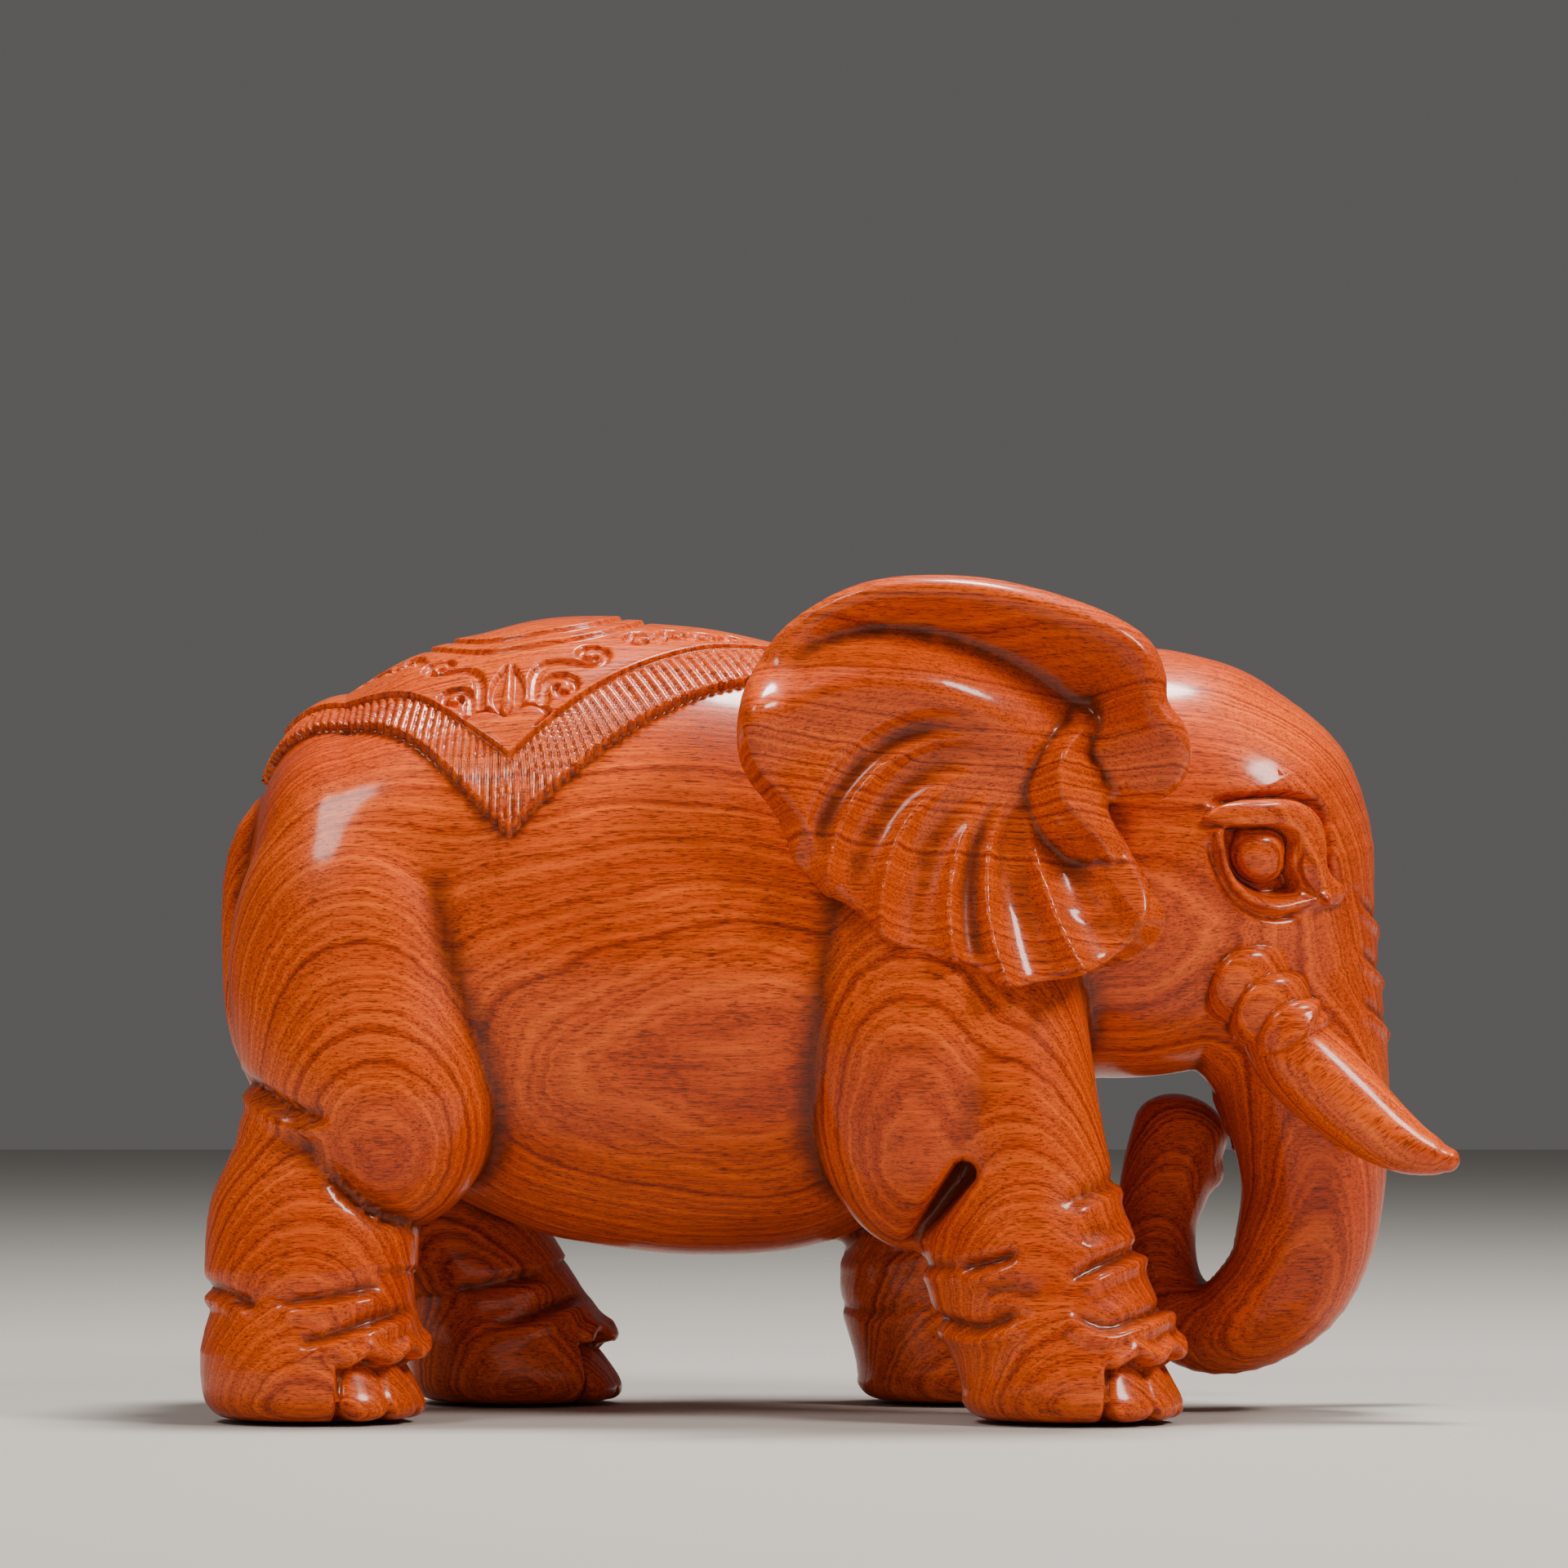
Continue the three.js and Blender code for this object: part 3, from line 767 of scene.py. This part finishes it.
def cloth_relief(folded):
    """Height of the saddle cloth and of its carving."""
    out = np.zeros(len(folded))
    over = (folded[:, 2] > CLOTH_LOWEST) & (folded[:, 0] < CLOTH_FOREMOST)
    flat = cloth_coordinates(folded[over])
    inward = -outline_distance(flat, cloth_outline())
    strand = np.abs(np.cos(math.pi * fringe_phase(flat, inward) / STRAND))
    fringe = fringe_width(flat)
    edge = inward + 1.0 * (strand ** 0.5 - 0.75)
    height = CLOTH_HEIGHT * step_between(edge, -0.35, 0.55)
    in_fringe = step_between(inward, 0.2, 1.0) * (1 - step_between(inward, fringe - 0.9, fringe - 0.3))
    height += in_fringe * 1.3 * (strand ** 0.5 - 0.75)
    height += FIELD_RISE * step_between(inward, fringe - 0.1, fringe + 0.5)
    inner = inward > fringe
    height[inner] += motif_relief(flat[inner], (inward - fringe)[inner])
    out[over] = height
    return out


def motif_relief(flat, inside):
    """The scrolls and leaf cut into the field, the raised heart, and the two tiers on top."""
    cut = np.zeros(len(flat))
    for path in SCROLLS:
        distance, _, way = trace(flat, path)
        half = 1.6 - 0.8 * way
        channel = (1 - step_between(distance, half - 0.35, half + 0.35)) * (1 - 0.25 * distance / half)
        cut = np.maximum(cut, channel * step_between(way, 0, 0.06))
    for outline in PETALS:
        distance = outline_distance(flat, closed_spline(outline, 40))
        cut = np.maximum(cut, 1 - step_between(distance, -0.7, 0.2))
    heart = outline_distance(flat, closed_spline(HEART, 50))
    bud = outline_distance(flat, closed_spline(BUD, 30))
    cut = np.maximum(cut, hump(heart - 0.9, 0.8) * (flat[:, 1] < 53))
    cut *= step_between(heart, 0, 0.6) * (0.25 + 0.75 * step_between(bud, -0.4, 0.3))
    out = -SCROLL_DEPTH * cut * step_between(inside, 0.4, 1.2)
    out += 0.25 * (1 - step_between(heart, -2.4, 0)) + 0.15 * hump(inside - 0.8, 0.6)
    middle, long, short = MEDALLION
    ring = np.hypot((flat[:, 0] - middle) / long, flat[:, 1] / short) * short
    for edge in (short, short - TIER_INSET):
        out += TERRACE * (1 - step_between(ring, edge - 0.5, edge + 0.1))
        out -= 0.5 * hump(ring - edge - 0.6, 0.6)
    return out


def block_relief(p):
    folded = mirrored(p)
    total = cloth_relief(folded) + eye_relief(folded) + trunk_relief(folded)
    total += folds_relief(p, FRONT_FOLDS, "front", 112)
    return total + folds_relief(p, HIND_FOLDS, "hind", 100)


# ---- Ears ----------------------------------------------------------------------------------------
EAR_EDGE = [
    (66, 146), (70, 137), (75, 127), (75, 119), (69, 111.5), (61, 106.5), (52, 104.5), (41, 103.2),
    (33.5, 108), (25, 109.8), (13, 114), (7.5, 119.5), (-5.5, 127.5), (-12, 135), (-17.5, 144),
    (-21.5, 152), (-22.3, 161), (-20, 174), (-13, 186), (-2, 194.3), (10, 199), (24, 200.3),
    (38, 199.4), (53, 196), (67, 190.8), (76, 184.5), (79.5, 176.5), (80, 170.5), (84, 165),
    (85.7, 158), (83.5, 151.5), (78, 147.3), (71, 146.8),
]
EAR_HUB = (45.0, 154.5)  # where the pleats spread from
SCOOP = [(-14, 179), (-3, 185), (10, 187.5), (26, 186), (44, 180), (60, 171)]
SWELL = [(-19, 166), (-6, 172.5), (8, 174.5), (22, 173.5), (36, 167), (44, 160)]
CRESTS = [(190, 2.6), (206, 4.8), (229, 5.2), (253, 3.8), (266, 5.2), (287, 4.8), (308, 0)]
TRAGUS = [(59.5, 164), (55.8, 159.5), (54, 153), (55.5, 147), (60, 142), (65, 136), (69.5, 127)]
TRAGUS_FACE = [53, 58, 59.5, 58.5, 56.5, 52.5, 47]  # how far out its crest stands, point by point
EAR_PLATE = 9.0
ROOT_EDGE = [(62, 153), (66, 145), (71, 136), (76.4, 128), (80.5, 119.5), (77, 112), (67, 108), (54, 110),
             (43, 118), (38, 131), (41, 146), (51, 155)]


def ear_outline():
    return closed_spline(EAR_EDGE, 110)


def dish(flat):
    """The smooth hollow of the ear, as how far out from the middle plane its face stands."""
    spread = ((flat[:, 0] - 62) / 45) ** 2 + ((flat[:, 1] - 146) / 34) ** 2
    lobe = 6 * hump(np.hypot((flat[:, 0] - 79) / 11, (flat[:, 1] - 161) / 16), 1.0)
    return 47 + 18 * (1 - np.exp(-1.1 * spread)) + lobe


def pleats(flat):
    """Gouged flutes between sharp crests that spread from the hub and sweep round to the rim.

    CRESTS gives each crest's direction at the rim in degrees, and the depth of the flute after it.
    """
    dx, dz = flat[:, 0] - EAR_HUB[0], flat[:, 1] - EAR_HUB[1]
    reach = np.hypot(dx, dz)
    turn = np.degrees(np.arctan2(dz, dx)) % 360
    short = np.clip(50 - reach, -14, 40)
    at_rim = (turn + 4.77 * short) / (1 + 0.0158 * short)
    total = np.zeros(len(flat))
    for (start, depth), (end, _) in zip(CRESTS, CRESTS[1:]):
        t = np.clip((at_rim - start) / (end - start), 0, 1)
        total -= depth * np.sin(math.pi * t) ** 0.85
        total += 0.7 * hump(at_rim - start, 2.4) * (start > 200)
    return total * step_between(reach, 6, 33)


def ear_face(flat, inward):
    """The outer face of the ear, from the dish with its rolled rim, scoop, pleats and tragus."""
    x, z = flat.T
    face = dish(flat)
    distance, _, _ = trace(flat, spline(SCOOP, 20), reach=30)
    face = face - 8.5 * hump(distance, 7.5)
    distance, _, _ = trace(flat, spline(SWELL, 20), reach=30)
    face += 3.6 * hump(distance, 8)
    high = step_between(z, 148, 170)
    face += 2.6 * hump(inward - 4.5, 4.5) * high
    behind = (1 - step_between(x, 5, 20)) * hump(z - 143, 17)
    face -= 1.7 * np.maximum(8.5 * behind - inward, 0)
    face += pleats(flat)
    distance, side, way = trace(flat, spline(TRAGUS, 24), reach=16)
    height = np.interp(way, np.linspace(0, 1, len(TRAGUS)), TRAGUS_FACE)
    slope = np.where(side > 0, 1.2, 0.85)
    return smooth_max(face, height - slope * distance, 1.0)


def ear(folded):
    """One ear blank: the carved plate, and the root that is let into the side of the head."""

    def field(p):
        flat = p[:, [0, 2]]
        edge = outline_distance(flat, ear_outline())
        outer = (p[:, 1] - ear_face(flat, -edge)) * 0.74
        scooped, _, _ = trace(flat, spline(SCOOP, 20), reach=30)
        inner = (dish(flat) - EAR_PLATE - 6.5 * hump(scooped, 9) - p[:, 1]) * 0.8
        rounding = 2.4 + 3.1 * step_between(p[:, 2], 132, 165)  # crisp below, where the flutes run out
        plate = smooth_max(smooth_max(outer, inner, 2.0), edge, rounding)
        root_edge = outline_distance(flat, closed_spline(ROOT_EDGE, 60))
        ramp = 0.9 * np.clip(-root_edge - 1, 0, 16)
        root = smooth_max((block(p) - 0.15 - ramp) * 0.75, root_edge, 0.6)
        root = smooth_max(root, outer, 1.5)
        root = smooth_max(root, EAR_ROOT_Y - p[:, 1], 0.6)
        return smooth_min(plate, root, 2.5)

    return nearby(folded, (-24, EAR_ROOT_Y - 1, 101), (88, 70, 202), field)


def ear_pocket(folded):
    """The pocket cut for an ear's root, a little smaller so that the joint closes."""

    def field(p):
        root_edge = outline_distance(p[:, [0, 2]], closed_spline(ROOT_EDGE, 60))
        return smooth_max(root_edge + 2.2, EAR_ROOT_Y - p[:, 1], 0.5)

    return nearby(folded, (38, EAR_ROOT_Y - 1, 107), (82, 60, 156), field)


# ---- Tusks ---------------------------------------------------------------------------------------
TUSK = [
    (104, 26.4, 94.5, 7, 7),
    (110.5, 27.8, 88, 10.0, 9.2),
    (117, 29, 81.8, 10.4, 9.4),
    (124, 30.3, 75.5, 9.8, 8.8),
    (131.5, 32, 69.3, 8.3, 7.6),
    (138, 33.5, 65.2, 6.6, 6.2),
    (144, 34.8, 62.9, 4.6, 4.4),
    (147.2, 35.5, 62.2, 3, 3),
]


def tusk(folded):
    return limb(folded, TUSK, steps=48, cap=3)


def body_field(p):
    """The block with the two ear pockets let into it."""
    return smooth_max(block(p), -ear_pocket(mirrored(p)), 0.4)


# ---- Materials -----------------------------------------------------------------------------------
class Nodes:
    """Small helper that adds nodes and joins them up."""

    def __init__(self, name):
        self.material = bpy.data.materials.new(name)
        self.material.use_nodes = True
        self.tree = self.material.node_tree
        self.shader = self.tree.nodes["Principled BSDF"]

    def add(self, kind, inputs=None, **settings):
        node = self.tree.nodes.new("ShaderNode" + kind)
        for key, value in settings.items():
            setattr(node, key, value)
        for key, value in (inputs or {}).items():
            if isinstance(value, bpy.types.NodeSocket):
                self.tree.links.new(value, node.inputs[key])
            else:
                node.inputs[key].default_value = value
        return node

    def math(self, operation, a, b=0.0):
        return self.add("Math", {0: a, 1: b}, operation=operation).outputs[0]

    def ramp(self, value, stops):
        node = self.add("ValToRGB", {"Fac": value})
        elements = node.color_ramp.elements
        while len(elements) < len(stops):
            elements.new(0.5)
        for element, (place, colour) in zip(elements, stops):
            element.position = place
            element.color = (*colour, 1) if len(colour) == 3 else colour
        return node.outputs["Color"]

    def mix(self, factor, a, b, blend="MIX"):
        node = self.add("Mix", data_type="RGBA", blend_type=blend)
        for key, value in ((0, factor), (6, a), (7, b)):
            if isinstance(value, bpy.types.NodeSocket):
                self.tree.links.new(value, node.inputs[key])
            else:
                node.inputs[key].default_value = value
        return node.outputs[2]

    def link(self, output, name):
        self.tree.links.new(output, self.shader.inputs[name])


def grey(value):
    return (value, value, value)


def rosewood(name, shift, tilt):
    """Lacquered rosewood: growth layers across Y, fibres and pores along X.

    shift (mm) and tilt (degrees) place the piece in its own blank, so that glued pieces don't match.
    """
    nodes = Nodes(name)
    place = nodes.add("TexCoord").outputs["Object"]
    blank = nodes.add("Mapping", {"Vector": place, "Location": shift, "Scale": (1000, 1000, 1000),
                                  "Rotation": tuple(math.radians(a) for a in tilt)}).outputs[0]

    def stretched(scale):
        return nodes.add("Mapping", {"Vector": blank, "Scale": scale}).outputs[0]

    def noise(scale, detail=2.0, rough=0.5):
        return nodes.add("TexNoise", {"Vector": stretched(scale), "Scale": 1.0, "Detail": detail,
                                      "Roughness": rough}).outputs["Fac"]

    warp = noise((0.009, 0.016, 0.012), 2.0)
    layers = nodes.add("SeparateXYZ", {"Vector": blank}).outputs["Y"]
    layers = nodes.math("ADD", layers, nodes.math("MULTIPLY", warp, 13.0))
    layers = nodes.math("ADD", layers, nodes.math("MULTIPLY", noise((0.05, 0.25, 0.25), 3.0), 1.3))
    layer_vector = nodes.add("CombineXYZ", {"X": layers}).outputs[0]
    rings = nodes.add("TexNoise", {"Vector": layer_vector, "Scale": 0.8, "Detail": 4.0,
                                   "Roughness": 0.66}).outputs["Fac"]
    fibre = noise((0.035, 1.3, 1.3), 3.0, 0.6)
    clouds = noise((0.012, 0.03, 0.03), 2.0)
    in_rings = nodes.math("MULTIPLY", nodes.math("SUBTRACT", 0.5, rings), 0.42)
    pores = nodes.math("ADD", noise((0.30, 3.0, 3.0), 2.0, 0.65), in_rings)
    fine_pores = nodes.math("ADD", noise((0.7, 6.0, 6.0), 1.0, 0.5), in_rings)

    base = nodes.ramp(rings, [(0.34, (0.30, 0.022, 0.001)), (0.46, (0.62, 0.070, 0.002)),
                              (0.62, (0.82, 0.120, 0.004))])
    streaks = nodes.ramp(fibre, [(0.32, grey(0.66)), (0.52, grey(1.0)), (0.75, grey(1.08))])
    base = nodes.mix(1.0, base, streaks, "MULTIPLY")
    patches = nodes.ramp(clouds, [(0.33, (0.78, 0.62, 0.50)), (0.6, grey(1.0))])
    base = nodes.mix(1.0, base, patches, "MULTIPLY")
    pore_mask = nodes.ramp(pores, [(0.54, grey(0.0)), (0.63, grey(1.0))])
    base = nodes.mix(nodes.math("MULTIPLY", pore_mask, 0.74), base, (0.10, 0.011, 0.002, 1))
    fine_mask = nodes.ramp(fine_pores, [(0.57, grey(0.0)), (0.68, grey(1.0))])
    base = nodes.mix(nodes.math("MULTIPLY", fine_mask, 0.45), base, (0.14, 0.018, 0.003, 1))
    # painted shade: the wood is darkened to deep brown in creases and hollows, where shade falls
    crease = nodes.add("Attribute", attribute_name="crease").outputs["Fac"]
    base = nodes.mix(nodes.math("MULTIPLY", crease, 0.8), base, (0.05, 0.008, 0.003, 1))
    nodes.link(base, "Base Color")

    sunk = nodes.math("MULTIPLY", pore_mask, -1.0)
    bump = nodes.add("Bump", {"Height": nodes.math("ADD", sunk, nodes.math("MULTIPLY", fibre, 0.8)),
                              "Strength": 0.22, "Distance": 0.00012})
    nodes.link(bump.outputs["Normal"], "Normal")
    nodes.shader.inputs["Roughness"].default_value = 0.42
    nodes.shader.inputs["Specular IOR Level"].default_value = 0.12
    nodes.shader.inputs["Coat Weight"].default_value = 0.5
    nodes.shader.inputs["Coat Roughness"].default_value = 0.15
    nodes.shader.inputs["Coat IOR"].default_value = 1.45
    return nodes.material


def felt():
    """Dark pressed felt."""
    nodes = Nodes("felt")
    place = nodes.add("TexCoord").outputs["Object"]
    hairs = nodes.add("TexNoise", {"Vector": place, "Scale": 1800.0, "Detail": 4.0}).outputs["Fac"]
    nodes.link(nodes.ramp(hairs, [(0.3, grey(0.012)), (0.7, (0.05, 0.045, 0.04))]), "Base Color")
    bump = nodes.add("Bump", {"Height": hairs, "Strength": 0.6, "Distance": 0.0003})
    nodes.link(bump.outputs["Normal"], "Normal")
    nodes.shader.inputs["Roughness"].default_value = 0.95
    nodes.shader.inputs["Sheen Weight"].default_value = 0.3
    return nodes.material


def beech():
    """Plain pale dowel wood, with fine flecks."""
    nodes = Nodes("beech")
    place = nodes.add("TexCoord").outputs["Object"]
    grain = nodes.add("Mapping", {"Vector": place, "Scale": (1500, 120, 1500)}).outputs[0]
    flecks = nodes.add("TexNoise", {"Vector": grain, "Scale": 1.0, "Detail": 3.0}).outputs["Fac"]
    nodes.link(nodes.ramp(flecks, [(0.35, (0.42, 0.26, 0.13)), (0.6, (0.62, 0.43, 0.25))]), "Base Color")
    nodes.shader.inputs["Roughness"].default_value = 0.65
    return nodes.material


CREASE_SHADE_DEPTH = (0.06, 0.34)  # painted shade: hollows this deep start to be darkened, and are fully darkened


def paint_crease_shade(obj):
    """Stores how hollow the surface is at each vertex, for the painted shade that darkens creases."""
    mesh = obj.data
    count = len(mesh.vertices)
    place = np.empty(count * 3)
    mesh.vertices.foreach_get("co", place)
    place = place.reshape(-1, 3) / MM
    normal = np.empty(count * 3)
    mesh.vertex_normals.foreach_get("vector", normal)
    normal = normal.reshape(-1, 3)
    edges = np.empty(len(mesh.edges) * 2, int)
    mesh.edges.foreach_get("vertices", edges)
    a, b = edges.reshape(-1, 2).T

    def averaged(values):
        total = np.zeros_like(values)
        seen = np.zeros(count)
        for here, there in ((a, b), (b, a)):
            np.add.at(total, here, values[there])
            np.add.at(seen, here, 1)
        return total / np.maximum(seen, 1)[:, None]

    soft = place
    for _ in range(6):
        soft = averaged(soft)
    hollow = ((soft - place) * normal).sum(1)
    crease = averaged(step_between(hollow, *CREASE_SHADE_DEPTH)[:, None])[:, 0]
    layer = mesh.attributes.new("crease", "FLOAT", "POINT")
    layer.data.foreach_set("value", crease)


# ---- Pieces --------------------------------------------------------------------------------------
def in_cloth(p):
    folded = mirrored(p)
    inside = np.zeros(len(p), bool)
    over = (folded[:, 2] > CLOTH_LOWEST) & (folded[:, 0] < CLOTH_FOREMOST)
    inside[over] = outline_distance(cloth_coordinates(folded[over]), cloth_outline()) < 2.5
    return inside


def in_detail(p):
    """Where the block is carved finely enough to need a closer mesh."""
    folded = mirrored(p)
    face = (folded[:, 0] > 84) & (folded[:, 2] > 76) & (folded[:, 2] < 156) & (folded[:, 1] > 6)
    feet = folded[:, 2] < 46
    return in_cloth(p) | face | feet


def in_carving(p):
    folded = mirrored(p)
    eye = (np.hypot(folded[:, 0] - EYE[0], folded[:, 2] - EYE[1]) < 21) & (folded[:, 1] > 7)
    toes = np.zeros(len(p), bool)
    for x, y, _ in FOOT.values():
        toes |= (p[:, 0] > x + 4) & (p[:, 0] < x + 40) & (np.abs(p[:, 1] - y) < 32) & (p[:, 2] < 21)
    sheaths = (np.hypot(folded[:, 0] - 105, folded[:, 2] - 98) < 20) & (folded[:, 1] > 14)
    return in_cloth(p) | eye | toes | sheaths


def in_finest(p):
    """The scrolls and the eyes, whose relief is the closest."""
    folded = mirrored(p)
    fine = (np.hypot(folded[:, 0] - EYE[0], folded[:, 2] - EYE[1]) < 20) & (folded[:, 1] > 8)
    over = (folded[:, 2] > 140) & (folded[:, 0] < 20)
    flat = cloth_coordinates(folded[over])
    inward = -outline_distance(flat, cloth_outline())
    inside = inward - fringe_width(flat)
    detail = np.abs(motif_relief(flat, inside)) > 0.02
    fine[over] |= (inside > -1) & (detail | (inside < 2))
    return fine


def dress(piece, node, material):
    piece.data.materials.append(material)
    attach(piece, "root")
    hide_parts(node)


def make_body():
    low, high = box_mm("carved_body")
    fine_regions = [in_detail, in_carving, in_finest]
    body = carve("body", body_field, low - 8, high + 8, 2.0, fine_regions, block_relief)
    paint_crease_shade(body)
    wood = rosewood("rosewood_body", (0, 0, 0), (-18, 0, -1.5))
    dress(body, "carved_body", wood)


def make_ear(word, side):
    low, high = box_mm("ear_" + word)
    made = carve("ear_" + word + "_carving", lambda p: ear(p * (1, side, 1)), low - 8, high + 8, 1.0)
    paint_crease_shade(made)
    wood = rosewood("rosewood_ear_" + word, (40, 9 * side, 60), (-74, 4, 3))
    dress(made, "ear_" + word, wood)


def make_tusk(word, side):
    low, high = box_mm("tusk_" + word)
    made = carve("tusk_" + word + "_carving", lambda p: tusk(p * (1, side, 1)), low - 6, high + 6, 0.8)
    paint_crease_shade(made)
    wood = rosewood("rosewood_tusk_" + word, (90, 20, 15), (0, 35, 0))
    dress(made, "tusk_" + word, wood)


make_body()
for word, side in (("right", -1), ("left", 1)):
    make_ear(word, side)
    make_tusk(word, side)


# ---- Floor, light and camera ---------------------------------------------------------------------
def make_floor():
    mesh = bpy.data.meshes.new("floor")
    mesh.from_pydata([(-3, -3, 0), (3, -3, 0), (3, 3, 0), (-3, 3, 0)], [], [(0, 1, 2, 3)])
    nodes = Nodes("floor")
    nodes.shader.inputs["Base Color"].default_value = (0.42, 0.40, 0.375, 1)
    nodes.shader.inputs["Roughness"].default_value = 0.8
    mesh.materials.append(nodes.material)
    floor = bpy.data.objects.new("floor", mesh)
    bpy.context.scene.collection.objects.link(floor)


LIT_POINT = Vector((0, 0, 0.11))  # the middle of the carving


def softbox(name, place, size, watts, colour, shines=True):
    """A round soft light aimed at the middle of the carving. shines is False for one with no highlight."""
    light = bpy.data.lights.new(name, "AREA")
    light.shape = "DISK"
    light.size = size
    light.energy = watts
    light.color = colour
    lamp = bpy.data.objects.new(name, light)
    lamp.location = place
    lamp.rotation_euler = (LIT_POINT - lamp.location).to_track_quat("-Z", "Y").to_euler()
    lamp.visible_glossy = shines
    bpy.context.scene.collection.objects.link(lamp)


def make_studio():
    world = bpy.data.worlds.new("studio")
    bpy.context.scene.world = world
    world.use_nodes = True
    background = world.node_tree.nodes["Background"]
    background.inputs["Color"].default_value = (0.42, 0.41, 0.40, 1)
    background.inputs["Strength"].default_value = 0.26
    softbox("key", (0.85, -0.60, 0.92), 0.34, 15.5, (1, 0.95, 0.88))
    softbox("top", (0.16, 0.10, 1.25), 0.3, 26, (1, 0.97, 0.93))
    softbox("left", (-0.66, -0.66, 1.05), 0.42, 8, (1, 0.96, 0.9))
    softbox("fill", (-0.5, -1.4, 0.5), 0.9, 2, (1, 0.93, 0.85), shines=False)


CAMERA_PLACE = (-0.0107, -1.593, 0.0978)  # level with the belly, as in the photo
CAMERA_AIM = (-0.0107, -0.039, 0.1516)


def make_camera():
    data = bpy.data.cameras.new("camera")
    data.lens = 150  # a long lens, as the photo's perspective is slight
    camera = bpy.data.objects.new("camera", data)
    bpy.context.scene.collection.objects.link(camera)
    camera.location = CAMERA_PLACE
    aim = Vector(CAMERA_AIM) - camera.location
    camera.rotation_euler = aim.to_track_quat("-Z", "Y").to_euler()
    bpy.context.scene.camera = camera


make_floor()
make_studio()
make_camera()
for start, material in (("foot_pad_", felt()), ("ear_dowel_", beech())):
    for node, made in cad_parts.items():
        if node.startswith(start):
            made.data.materials.clear()
            made.data.materials.append(material)
